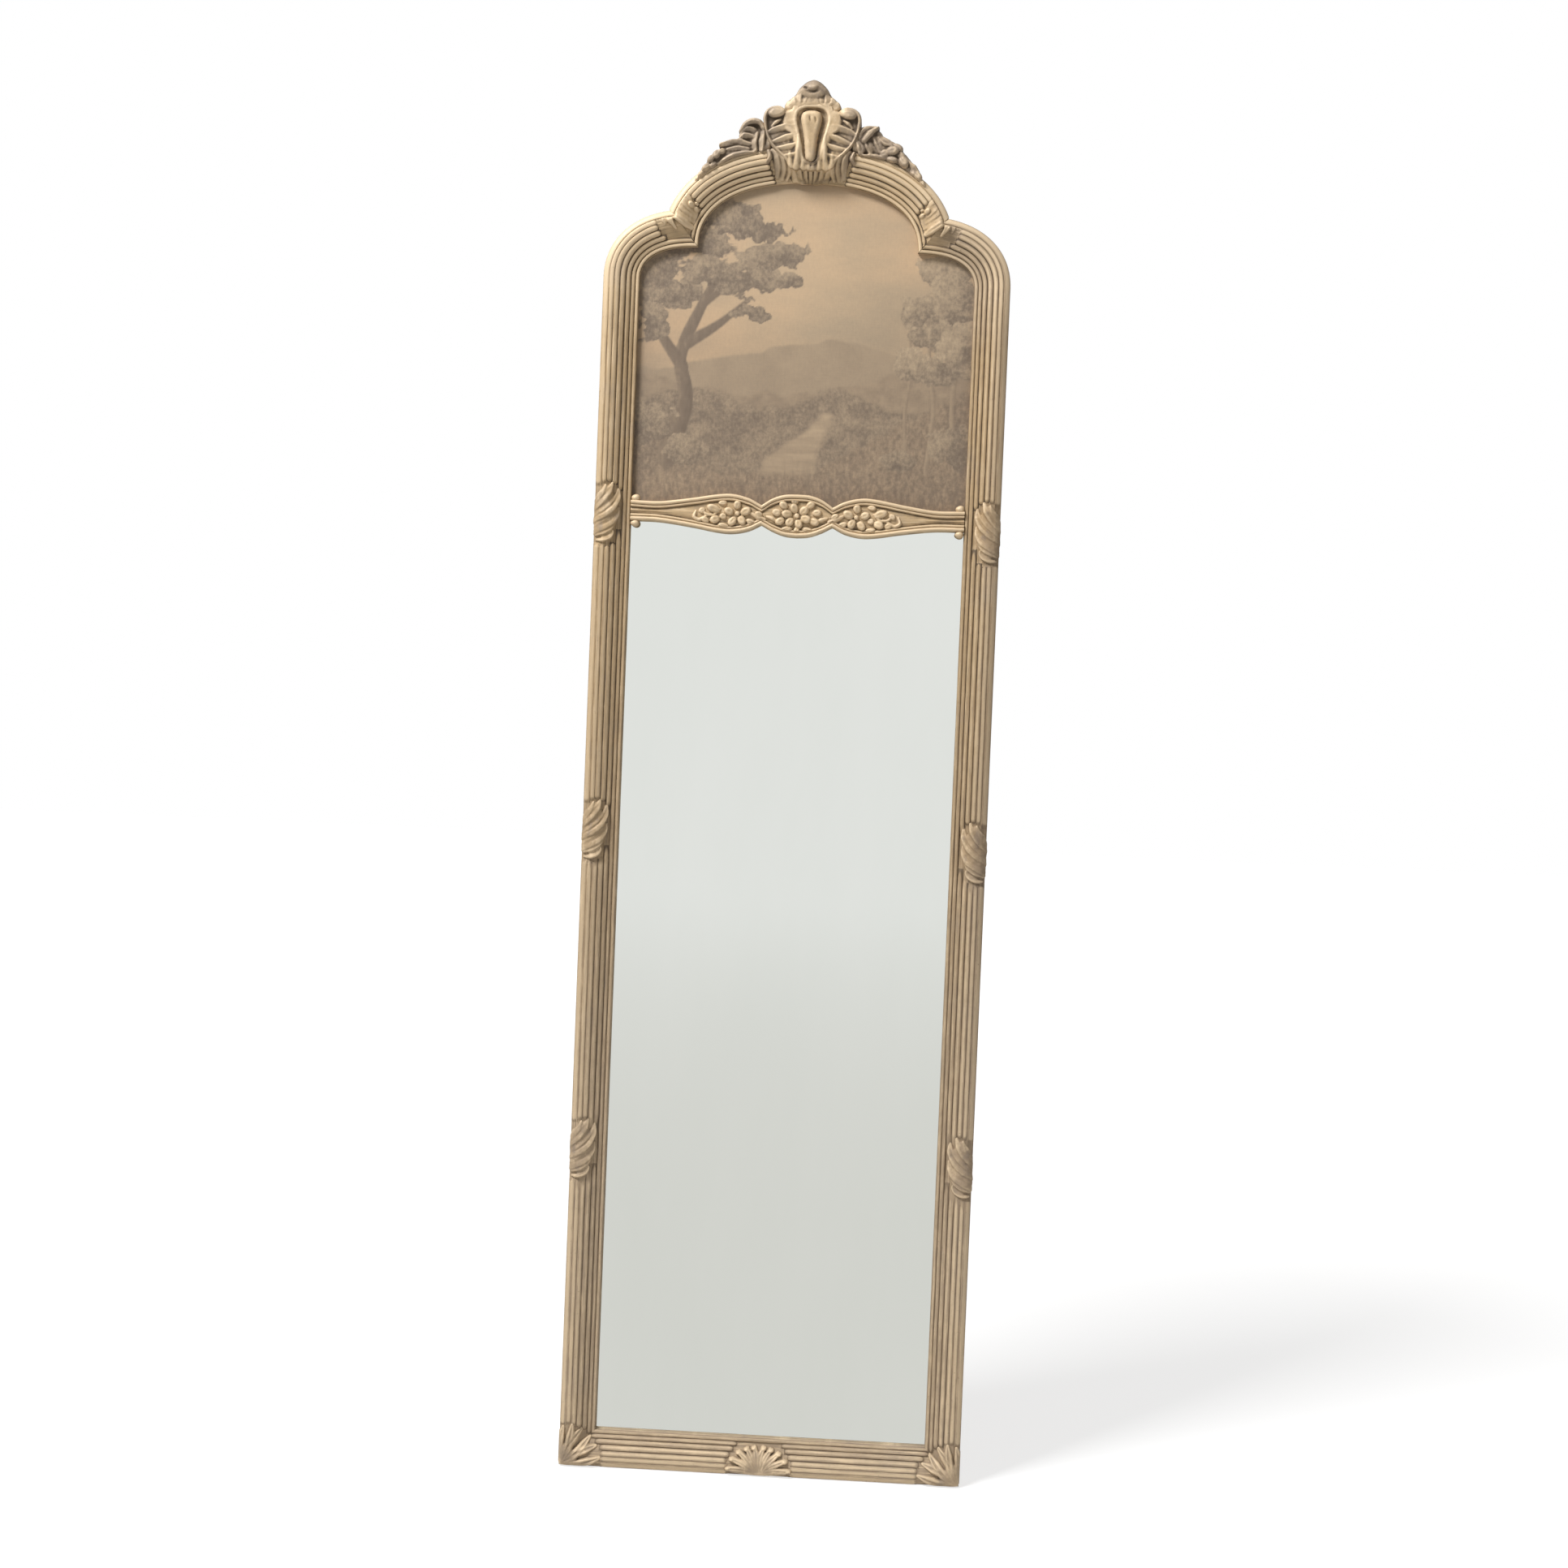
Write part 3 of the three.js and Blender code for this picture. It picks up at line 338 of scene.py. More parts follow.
# Wood grain: stretched noise rings with fine pores, for boards, dowels and the unfinished back.
def woodGrain():
    group, get = newGroup("wood grain", {
        "Place": None, "Light Wood": (0.5, 0.33, 0.17, 1), "Dark Wood": (0.27, 0.16, 0.08, 1), "Age": 0.3,
    }, ["Color", "Roughness", "Height"])
    place = get["Place"]
    stain = remap(group, noise(group, place, 3.0, 2.0, 0.5), 0.45, 0.7)
    rings = node(group, "TexWave", {"wave_type": "BANDS", "bands_direction": "X"}, Vector=place, Scale=14.0,
                 Distortion=5.0, Detail=3.0, Detail_Scale=1.2).outputs["Fac"]
    pores = noise(group, place, 60.0, 4.0, 0.7)
    tone = plus(group, times(group, rings, 0.55), times(group, pores, 0.45))
    color = mixColor(group, tone, get["Dark Wood"], get["Light Wood"])
    color = mixColor(group, times(group, stain, get["Age"]), color, get["Dark Wood"])
    return giveOut(group, Color=color, Roughness=remap(group, pores, 0.3, 0.7, 0.6, 0.85), Height=tone)


# Handled metal: fine scratches, dull patches and darker tarnish.
def handledMetal():
    group, get = newGroup("handled metal", {
        "Place": None, "Bright": (0.5, 0.5, 0.5, 1), "Tarnish": (0.2, 0.17, 0.13, 1),
    }, ["Color", "Roughness", "Height"])
    patches = noise(group, get["Place"], 160.0, 4.0, 0.6)
    scratches = noise(group, get["Place"], 1400.0, 2.0, 0.7)
    color = mixColor(group, remap(group, patches, 0.42, 0.68), get["Bright"], get["Tarnish"])
    rough = plus(group, remap(group, patches, 0.35, 0.7, 0.26, 0.5), times(group, scratches, 0.1))
    return giveOut(group, Color=color, Roughness=rough, Height=scratches)


# Plain weave of a canvas: two crossed waves, with thicker threads here and there.
def canvasWeave():
    group, get = newGroup("canvas weave", {"Place": None, "Threads": 560.0}, ["Height", "Slub"])
    place = get["Place"]
    turns = [times(group, axis(group, place, name), get["Threads"], 6.2832) for name in "XZ"]
    waves = [mathNode(group, "SINE", turn) for turn in turns]
    stretched = [scaled(group, place, scale) for scale in ((60, 1, 900), (900, 1, 60))]
    threads = plus(group, *(noise(group, along, 1.0, 2.0, 0.5) for along in stretched))
    height = plus(group, times(group, *waves, 0.4), threads)
    return giveOut(group, Height=height, Slub=times(group, threads, 0.5))


groups = {"gilding": wornGildingAndPaintedLight(), "wood": woodGrain(), "metal": handledMetal(), "weave": canvasWeave()}


def placeGroup(tree, key, **inputs):
    made = tree.nodes.new("ShaderNodeGroup")
    made.node_tree = groups[key]
    for name, value in inputs.items():
        feed(tree, made, name.replace("_", " "), value)
    return made.outputs


def objectPlace(tree, scale=None):
    place = tree.nodes.new("ShaderNodeTexCoord").outputs["Object"]
    return place if scale is None else scaled(tree, place, scale)


def addBump(tree, shader, height, strength, distance):
    bump = node(tree, "Bump", None, Height=height, Strength=strength, Distance=distance)
    tree.links.new(bump.outputs["Normal"], shader.inputs["Normal"])


# A material from one of the groups: its colour, roughness and height, with a bump of that strength.
def dressed(name, key, bump, distance, inputs):
    material, shader = newMaterial(name)
    tree = material.node_tree
    out = placeGroup(tree, key, **inputs(tree))
    tree.links.new(out["Color"], shader.inputs["Base Color"])
    tree.links.new(out["Roughness"], shader.inputs["Roughness"])
    addBump(tree, shader, out["Height"], bump, distance)
    return material, shader, out


# On the moulding the streaks follow the reeds, on the carving they lie any way.
# The grime and rub amounts also set how strong the painted shade in the hollows and the painted highlight on
# the ridges are.
gildingLooks = {
    "moulding": {"Grime_Amount": 0.9, "Rub_Amount": 0.75, "Dust_Amount": 0.0},
    "carving": {"Grime_Amount": 1.0, "Rub_Amount": 0.8, "Dust_Amount": 0.85},
}


def gildingMaterial(name, look, alongReeds, bump):
    def inputs(tree):
        streak = attribute(tree, "flow")["Vector"] if alongReeds else objectPlace(tree, (70, 70, 45))
        return dict(gildingLooks[look], Relief=attribute(tree, "relief")["Fac"], Place=objectPlace(tree),
                    Streak_Place=streak)

    material, shader, out = dressed(name, "gilding", bump, 0.0006, inputs)
    material.node_tree.links.new(out["Metal"], shader.inputs["Metallic"])
    shader.inputs["Specular IOR Level"].default_value = 0.32
    return material


def woodMaterial(name, light, dark, scale, age):
    return dressed(name, "wood", 0.25, 0.0004, lambda tree: {
        "Place": objectPlace(tree, scale), "Light_Wood": light, "Dark_Wood": dark, "Age": age})[0]


def metalMaterial(name, bright, tarnish):
    material, shader, _ = dressed(name, "metal", 0.15, 0.0001, lambda tree: {
        "Place": objectPlace(tree), "Bright": bright, "Tarnish": tarnish})
    shader.inputs["Metallic"].default_value = 0.95
    return material


# Silvered glass: a clean reflection with faint foxing and smears, and a clear coat over it.
def mirrorMaterial():
    material, shader = newMaterial("silvered glass")
    tree = material.node_tree
    smears = noise(tree, objectPlace(tree, (3, 3, 1.1)), 2.2, 4.0, 0.6)
    foxing = remap(tree, noise(tree, objectPlace(tree), 130.0, 3.0, 0.7), 0.76, 0.84, 0.0, 0.5)
    tint = mixColor(tree, smears, (0.80, 0.83, 0.80, 1), (0.87, 0.89, 0.87, 1))
    feed(tree, shader, "Base Color", mixColor(tree, foxing, tint, (0.45, 0.42, 0.35, 1)))
    feed(tree, shader, "Roughness", remap(tree, smears, 0.35, 0.75, 0.012, 0.05))
    for key, value in (("Metallic", 1.0), ("Coat Weight", 0.5), ("Coat Roughness", 0.02)):
        feed(tree, shader, key, value)
    return material


# The painting: its tone comes from the panel's own "tone" and "warmth" values, with brush marks and
# weave laid over, and dabs where it is "leafy".
painting = {
    "tones": [(0.0, (0.086, 0.062, 0.044, 1)), (0.3, (0.178, 0.133, 0.096, 1)),
              (0.6, (0.335, 0.253, 0.172, 1)), (1.0, (0.565, 0.425, 0.28, 1))],
    "cool": (0.90, 0.99, 1.02, 1), "warm": (1.10, 0.96, 0.84, 1), "strokes": 0.20, "dabs": 0.22,
    "weave": 0.16,
}


def paintingMaterial():
    material, shader = newMaterial("painted canvas")
    tree = material.node_tree
    tone, warmth, leafy = (attribute(tree, name)["Fac"] for name in ("tone", "warmth", "leafy"))
    weave = placeGroup(tree, "weave", Place=objectPlace(tree))
    strokes = noise(tree, objectPlace(tree, (300, 1, 190)), 1.0, 4.0, 0.65)
    dabs = remap(tree, noise(tree, objectPlace(tree, (230, 1, 190)), 1.0, 5.0, 0.62), 0.30, 0.70, -0.5, 0.5)
    tone = grained(tree, tone, strokes, painting["strokes"])
    tone = plus(tree, tone, times(tree, dabs, leafy, painting["dabs"]))
    tone = grained(tree, tone, weave["Slub"], painting["weave"], True)
    ramp = node(tree, "ValToRGB", None, Fac=tone)
    stops = painting["tones"]
    ramp.color_ramp.elements[0].color = stops[0][1]
    ramp.color_ramp.elements[1].color = stops[-1][1]
    for position, color in stops[1:-1]:
        ramp.color_ramp.elements.new(position).color = color
    shade = ramp.outputs["Color"]
    cool, warm = (mixColor(tree, 1.0, shade, painting[key], "MULTIPLY") for key in ("cool", "warm"))
    feed(tree, shader, "Base Color", mixColor(tree, warmth, cool, warm))
    feed(tree, shader, "Roughness", remap(tree, strokes, 0.3, 0.7, 0.55, 0.75))
    addBump(tree, shader, weave["Height"], 0.25, 0.0003)
    return material


looks = {
    "gilt": gildingMaterial("gilt moulding", "moulding", True, 0.5),
    "gilt_carving": gildingMaterial("gilt carving", "carving", False, 0.6),
    "silvered_glass": mirrorMaterial(),
    "painted_canvas": paintingMaterial(),
    "board": woodMaterial("backboard pine", (0.46, 0.31, 0.17, 1), (0.24, 0.145, 0.075, 1), (6, 6, 0.6), 0.6),
    "dowel_wood": woodMaterial("dowel beech", (0.58, 0.41, 0.24, 1), (0.38, 0.25, 0.13, 1), (20, 20, 5), 0.2),
    "steel": metalMaterial("dull steel", (0.46, 0.46, 0.45, 1), (0.17, 0.13, 0.10, 1)),
    "brass": metalMaterial("dull brass", (0.62, 0.44, 0.17, 1), (0.27, 0.19, 0.09, 1)),
}
for entry in frame["record"]["subparts"]:
    shown = frame["nodes"][entry["node"]]
    shown.data.materials.clear()
    shown.data.materials.append(looks[entry["material_slot"]])
print("materials made:", len(looks))


# Per reed from the outer edge in: rise sets its height; grime and worn set its relief for the gilding, lower
# on the inner reeds, which paints shade onto the inner slope as well as grime.
moulding = {
    "halfWidth": 250.0, "width": 43.5, "back": 33.0, "lip": 19.0, "sight": 13.5, "crown": -0.4,
    "outer": 4.0, "rebate": 8.0, "grooves": [0, 8, 14, 20.5, 27, 33, 38.5, 43.5], "seatDepth": 0.8,
    "rise": [0.17, 0.20, 0.26, 0.32, 0.36, 0.36, 0.34], "grime": [0.8, 0.86, 0.95, 1.0, 1.0, 1.0, 0.95],
    "worn": [1.0, 0.97, 0.92, 0.84, 0.76, 0.72, 0.82], "tip": 4.5, "samples": 10, "joint": 1465.0,
}
corners = {
    "spring": 1478.0, "cusp": (135.7, 1521.0), "shoulderPower": 2.4, "rise": 81.8, "archPower": 2.3,
    "mitre": (33.8, 40.5),
}
sightHalf = moulding["halfWidth"] - moulding["width"]
ribbonHeights = {"left": [1192, 800, 402], "right": [1183, 790, 400]}
seats = {
    "ribbon": [[219, 24], [226, 32], [235, 36], [244, 32], [252, 29], [252, -34], [246, -42], [230, -44],
               [223, -35], [217.5, -12]],
    "corner": [[253, -3], [253, 50], [238, 54], [222, 46], [208, 32], [198, 22], [197, -3]],
    "cusp": [[173, 1566], [168, 1577], [160, 1583], [150, 1581], [141, 1575], [134.5, 1566], [138, 1555],
             [142, 1547], [145.3, 1536], [144.4, 1531.4], [154, 1531.4], [164, 1530.2], [172, 1529.5],
             [180, 1534], [185, 1542], [188, 1552], [184, 1561]],
    "palmette": [[-38, -3], [38, -3], [40, 18], [26, 38], [-26, 38], [-40, 18]],
    "collar": [[-40, 1590], [40, 1590], [43, 1606], [49, 1618], [52, 1636], [54, 1660], [-54, 1660],
               [-58, 1636], [-50, 1618], [-46, 1606]],
}


# Depth of the groove line at a distance from the outer edge: a quarter round at the outer edge, a
# level crown, then half a cosine down to the sight edge.
def grooveDepth(s):
    t = np.clip((s - 10) / (moulding["width"] - 10), 0, 1)
    fall = moulding["crown"] + (moulding["sight"] - moulding["crown"]) * (0.5 - 0.5 * np.cos(np.pi * t))
    edge = (moulding["outer"] - moulding["crown"]) * (1 - np.sqrt(1 - (1 - np.clip(s / 8, 0, 1)) ** 2))
    return fall + edge


# The front of the section: for each reed, points on the chord between its grooves.
def reedSamples():
    g = np.array(moulding["grooves"], float)
    y = grooveDepth(g)
    u = -np.cos(np.linspace(0, np.pi, moulding["samples"] + 1))[:-1]
    chord = np.stack([np.diff(g), np.diff(y)], 1)
    length = np.hypot(*chord.T)
    outward = np.stack([chord[:, 1], -chord[:, 0]], 1) / length[:, None]
    share = (u + 1) / 2
    s = (g[:-1, None] + chord[:, :1] * share).ravel()
    depth = (y[:-1, None] + chord[:, 1:] * share).ravel()
    spread = lambda value: np.repeat(value, len(u))
    samples = {"s": s, "y": depth, "u": np.tile(u, len(length)), "length": spread(length),
               "outS": spread(outward[:, 0]), "outY": spread(outward[:, 1]),
               "middle": spread((g[:-1] + g[1:]) / 2)}
    samples.update({key: spread(np.array(moulding[key])) for key in ("rise", "grime", "worn")})
    # one more point closes the sight bead at the sight edge
    last = {"s": moulding["width"], "y": moulding["sight"], "u": 1.0, "length": 5.0, "outS": 0.0,
            "outY": -1.0, "middle": 41.0, "rise": 0.34, "grime": 0.9, "worn": 0.82}
    return {key: np.append(value, last[key]) for key, value in samples.items()}


# The closed section's plain part, from the sight edge round the rebate and back to the outer side.
def plainSamples():
    w, b, lip, r = moulding["width"], moulding["back"], moulding["lip"], moulding["rebate"]
    s = [w, w, w - 0.6, w - r, w - r, w - r - 0.5, 1.5, 0.4, 0, 0, 0, 0]
    y = [15, lip - 0.6, lip, lip, b - 0.5, b, b, b - 0.4, b - 1.5, 24, 14, 6.5]
    return np.array(s, float), np.array(y, float)


# Where a frame piece runs: the point on the sight line and the outward direction at each share t.
def stilePath(t):
    return np.full_like(t, sightHalf), t, np.ones_like(t), np.zeros_like(t)


def bottomPath(t):
    return t, np.full_like(t, moulding["width"]), np.zeros_like(t), -np.ones_like(t)


# A quarter of a superellipse |x/a|^p + |z/b|^p = 1 with its outward direction, t from side to top.
def quarterCurve(t, centre, size, power):
    angle = np.clip(t, 0, 1) * np.pi / 2
    c, s = np.cos(angle) ** (2 / power), np.sin(angle) ** (2 / power)
    nx, nz = c ** (power - 1) / size[0], s ** (power - 1) / size[1]
    length = np.hypot(nx, nz)
    return centre[0] + size[0] * c, centre[1] + size[1] * s, nx / length, nz / length


def shoulderPath(t):
    cuspX, cuspZ = corners["cusp"]
    size = (sightHalf - cuspX, cuspZ - corners["spring"])
    x, z, nx, nz = quarterCurve(t, (cuspX, corners["spring"]), size, corners["shoulderPower"])
    # below the spring it runs straight down
    return x, z + np.minimum(t, 0) * 100, nx, nz


def archPath(t):
    cuspX, cuspZ = corners["cusp"]
    return quarterCurve(t, (0, cuspZ), (cuspX, corners["rise"]), corners["archPower"])


# Share t at which each line of the section crosses the mitre plane at the cusp.
def mitreShare(path, s, fromEnd):
    t = np.linspace(0, 1, 600)
    x, z, nx, nz = (v[:, None] for v in path(t))
    out = moulding["width"] - s[None, :]
    dx, dz = x + nx * out - corners["cusp"][0], z + nz * out - corners["cusp"][1]
    side = dx * corners["mitre"][1] - dz * corners["mitre"][0]
    if fromEnd:
        return t[::-1][np.argmax(side[::-1] > 0, axis=0)]
    return t[np.argmax(side < 0, axis=0)]


# Quads between the rings of a closed section carried along, and the faces at its two ends.
def tubeFaces(rows, count):
    index = np.arange(rows * count).reshape(rows, count)
    beside = np.roll(index, -1, axis=1)
    quads = np.stack([index[:-1], index[1:], beside[1:], beside[:-1]], -1).reshape(-1, 4)
    return quads, [index[0].tolist(), index[-1][::-1].tolist()]


# Carries the reeded section along a path, each line of it from its own start to its own end. Each
# reed is half an ellipse across, and within a tip's length of a seat it closes like the end of a
# finger: height = rise * sqrt(1 - u^2 - e^2).
def reededPiece(node, path, rows, seatList, start, end, alongScale=1.0):
    mirrored = node.startswith("left")
    reed = reedSamples()
    plainS, plainY = plainSamples()
    s = np.concatenate([reed["s"], plainS])
    reed = {key: value[None, :] for key, value in reed.items()}
    share = (rows[:, None] - rows[0]) / (rows[-1] - rows[0])
    t = start(s)[None, :] + share * (end(s) - start(s))[None, :]
    x, z, nx, nz = path(t)
    front = slice(0, reed["s"].size)
    middle = moulding["width"] - reed["middle"]
    cx, cz = x[:, front] + nx[:, front] * middle, z[:, front] + nz[:, front] * middle
    gapTo = np.full(cx.shape, 99.0)
    for outline in seatList:
        away = outlineDistance(cx, cz, outline)
        # the outermost reed runs through beside the leaf of the upper corner
        gapTo = np.minimum(gapTo, away + 90 * (reed["middle"] < 8) if outline is seats["cusp"] else away)
    closing = np.clip(1 - gapTo / moulding["tip"], 0, 1)
    cap = np.sqrt(np.clip(1 - reed["u"] ** 2 - closing ** 2, 0, 1))
    wander = softNoise(z[:, front] + cx, reed["middle"] * 40.0, 60.0, 3, 2)
    height = reed["rise"] * reed["length"] * cap * (1 + 0.07 * wander)
    sink = moulding["seatDepth"] * smoothStep(0.0, -1.5, gapTo)
    plain = np.ones((len(t), 1))
    depth = np.concatenate([reed["y"] + reed["outY"] * height + sink, plainY * plain], 1)
    across = np.concatenate([np.maximum(reed["s"] + reed["outS"] * height, 0.02), plainS * plain], 1)
    out = moulding["width"] - across
    px, pz = x + nx * out, z + nz * out
    points = np.stack([-px if mirrored else px, depth, pz], -1).reshape(-1, 3)
    quads, caps = tubeFaces(len(t), len(s))
    # relief for the gilding: low towards each reed's grooves, on the inner reeds and on the seats under the
    # carving, which paints shade there along with grime
    worn = reed["worn"] - 0.86 * reed["grime"] * (1 - cap ** 1.6)
    relief = np.concatenate([np.where(gapTo < 0, 0.38, worn), np.full((len(t), len(plainS)), 0.5)], 1)
    flow = np.stack([t * alongScale * 0.022, s * 0.55 * plain, np.full_like(t, 3.0 if mirrored else 9.0)], -1)
    makePiece(node + "_moulding", points, quads, looks["gilt"], [node],
              {"relief": relief.ravel(), "flow": flow.reshape(-1, 3)}, caps)


# Row places along a straight piece: close together near the seats' ends, far apart elsewhere.
def closeRows(start, end, busy, fine=0.9, coarse=14.0):
    rows = [np.arange(start, end, coarse), [end]]
    for low, high in busy:
        rows.append(np.arange(max(low, start), min(high, end), fine))
    rows = np.unique(np.round(np.concatenate(rows), 3))
    keep = np.concatenate([[True], np.diff(rows) > 0.4])
    keep[-1] = True
    return rows[keep]


def raised(outline, z):
    return [[x, z + dz] for x, dz in outline]


# Each line of the section runs from mitre to mitre, or to the plain joint between two pieces.
def buildFrame():
    half, flat = moulding["halfWidth"], np.full_like
    for side, heights in ribbonHeights.items():
        busy = [(0, 64)] + [span for h in heights for span in ((h - 50, h - 14), (h + 18, h + 46))]
        outlines = [raised(seats["ribbon"], h) for h in heights] + [seats["corner"]]
        reededPiece(side + "_stile", stilePath, closeRows(0.0, moulding["joint"], busy), outlines,
                    lambda s: s, lambda s: flat(s, moulding["joint"]))
    rows = closeRows(-half, half, [(-half, -half + 62), (half - 62, half), (-52, 52)])
    flipped = [[-x, z] for x, z in seats["corner"]][::-1]
    reededPiece("bottom_rail", bottomPath, rows, [seats["corner"], flipped, seats["palmette"]],
                lambda s: -half + s, lambda s: half - s)
    for side in ("left", "right"):
        reededPiece(side + "_shoulder", shoulderPath, np.linspace(-0.13, 1, 150), [seats["cusp"]],
                    lambda s: flat(s, -0.13), lambda s: mitreShare(shoulderPath, s, True), 110)
        reededPiece(side + "_arch", archPath, np.linspace(0, 1, 230), [seats["cusp"], seats["collar"]],
                    lambda s: mitreShare(archPath, s, False), lambda s: flat(s, 1.0), 190)


buildFrame()
print("moulding carried round the frame")


# A carving is a height field over a fine grid: strokes raise or cut it, and the outline is the
# union of the strokes.
class Carving:
    def __init__(self, xRange, zRange, step=0.5, floor=0.0):
        self.step, self.floor = step, floor
        self.x, self.z = np.meshgrid(np.arange(xRange[0], xRange[1] + step / 2, step),
                                     np.arange(zRange[0], zRange[1] + step / 2, step))
        self.height = np.full(self.x.shape, floor)
        self.outline = np.full(self.x.shape, 50.0)

    # Distance from a smooth line: lateral share u of the half width, share t along it, and the
    # window of the grid that the stroke can reach.
    def near(self, points, widths, margin=1.5):
        line = smoothLine(points)
        wide = shared(np.linspace(0, 1, len(line)), widths)
        reach = wide.max() + margin
        low, high = line.min(0) - reach, line.max(0) + reach
        j0, j1 = np.searchsorted(self.x[0], [low[0], high[0]])
        i0, i1 = np.searchsorted(self.z[:, 0], [low[1], high[1]])
        window = (slice(i0, i1), slice(j0, j1))
        k, ex, ez = nearLine(self.x[window], self.z[window], line)
        side = np.diff(line, axis=0)
        distance = np.hypot(ex, ez)
        here = wide[:-1] + np.diff(wide) * k
        best = np.argmin(distance - here, axis=-1)[..., None]
        take = lambda value: np.take_along_axis(value, best, -1)[..., 0]
        distance, width = take(distance), take(here)
        sign = np.sign(take(side[:, 0] * ez - side[:, 1] * ex))
        t = (take(k) + best[..., 0]) / len(side)
        return window, sign * distance / np.maximum(width, 0.05), t, distance - width

    # Raises the field to the tops along the line. The shape says how height falls across it.
    def over(self, points, widths, tops, shape="roll", foot=None):
        window, u, t, away = self.near(points, widths)
        inside = away < 0
        top = shared(t, tops)
        foot = self.floor if foot is None else foot
        surface = foot + (top - foot) * acrossShapes[shape](np.clip(u, -1, 1), t)
        self.height[window] = np.where(inside, np.maximum(self.height[window], surface), self.height[window])
        self.outline[window] = np.minimum(self.outline[window], away)
    # Lays several strokes: line, half widths, tops and, for some, a shape of their own.
    def lay(self, strokes, shape="roll", foot=None):
        for points, widths, tops, *own in strokes:
            self.over(points, widths, tops, own[0] if own else shape, foot)

    # Cuts a rounded groove down to the depths along the line.
    def cut(self, points, widths, depths):
        window, u, t, away = self.near(points, widths)
        depth = shared(t, depths)
        keep = smoothStep(0.25, 1.0, np.abs(u))
        lowered = depth + (self.height[window] - depth) * keep
        self.height[window] = np.where(away < 0, np.minimum(self.height[window], lowered),
                                       self.height[window])

    # Adds a small rise or a shallow furrow on what is already there.
    def add(self, points, widths, amount):
        window, u, t, away = self.near(points, widths)
        rise = amount * np.clip(1 - u ** 2, 0, 1) * np.sin(np.pi * np.clip(t, 0.04, 0.96)) ** 0.5
        self.height[window] += np.where((away < 0) & (self.outline[window] < 0), rise, 0)

    # A rounded lobe: an ellipse that swells to its top, higher towards its far end by the tilt, with
    # a shallow dip in its middle.
    def lobe(self, centre, size, turn, top, tilt=0.12, dip=0.16, foot=None):
        a = math.radians(turn)
        dx, dz = self.x - centre[0], self.z - centre[1]
        along = (dx * math.cos(a) + dz * math.sin(a)) / size[0]
        aside = (dz * math.cos(a) - dx * math.sin(a)) / size[1]
        r = np.hypot(along, aside)
        foot = self.floor if foot is None else foot
        swell = np.sqrt(np.clip(1 - r ** 4, 0, 1)) * (1 + tilt * along) * (1 - dip * np.exp(-(r / 0.42) ** 2))
        self.height = np.where(r < 1, np.maximum(self.height, foot + (top - foot) * swell), self.height)
        self.outline = np.minimum(self.outline, (r - 1) * min(size))

    # A lobe with a vein that starts behind its middle and reaches so far towards its tip.
    def petal(self, centre, size, turn, top, tilt, dip, vein, foot=None):
        self.lobe(centre, size, turn, top, tilt, dip, foot)
        a = math.radians(turn)
        reach = np.array([math.cos(a), math.sin(a)]) * size[0]
        self.add([centre - reach * 0.9, centre + reach * vein["reach"]], vein["widths"], -vein["depth"])

    # Takes the carving away where the given distance is above zero.
    def trim(self, beyond):
        self.outline = np.maximum(self.outline, beyond)

    # Lowers the carving towards an edge: top = foot + rise * sqrt(distance from the edge).
    def roundOff(self, inward, foot, rise, reach):
        self.height = np.minimum(self.height, foot + np.sqrt(np.clip(inward, 0, reach)) * rise)

    def mirror(self):
        self.height = np.maximum(self.height, self.height[:, ::-1])
        self.outline = np.minimum(self.outline, self.outline[:, ::-1])

    # Rounds the carving off a little, roughens it by hand, and gives how far each place stands
    # out from its surroundings.
    def finish(self, soften=1.3, seed=1, uneven=0.2, lift=0.0, contrast=1.0):
        carved = self.height > self.floor + 0.4
        self.height = self.height + uneven * 2.2 * softNoise(self.x, self.z, 11.0, seed + 5, 2) * carved
        self.height = blurred(self.height, soften)
        self.height += uneven * softNoise(self.x, self.z, 4.0, seed, 2) * carved
        wide, close = self.height - blurred(self.height, 6.0), self.height - blurred(self.height, 2.2)
        self.relief = np.clip(0.5 + lift + contrast * (0.17 * wide + 0.33 * close), 0, 1)


acrossShapes = {
    "roll": lambda u, t: np.sqrt(np.clip(1 - u * u, 0, 1)),
    "plump": lambda u, t: np.clip(1 - u ** 4, 0, 1) ** 0.5,
    "leaf": lambda u, t: np.clip(1 - u ** 4, 0, 1) ** 0.5 * (1 - 0.22 * np.exp(-(u / 0.22) ** 2)),
    "fold": lambda u, t: np.clip(1 - u ** 8, 0, 1) ** 0.5 * (0.72 + 0.28 * u),
    "foldLeft": lambda u, t: np.clip(1 - u ** 8, 0, 1) ** 0.5 * (0.72 - 0.28 * u),
}


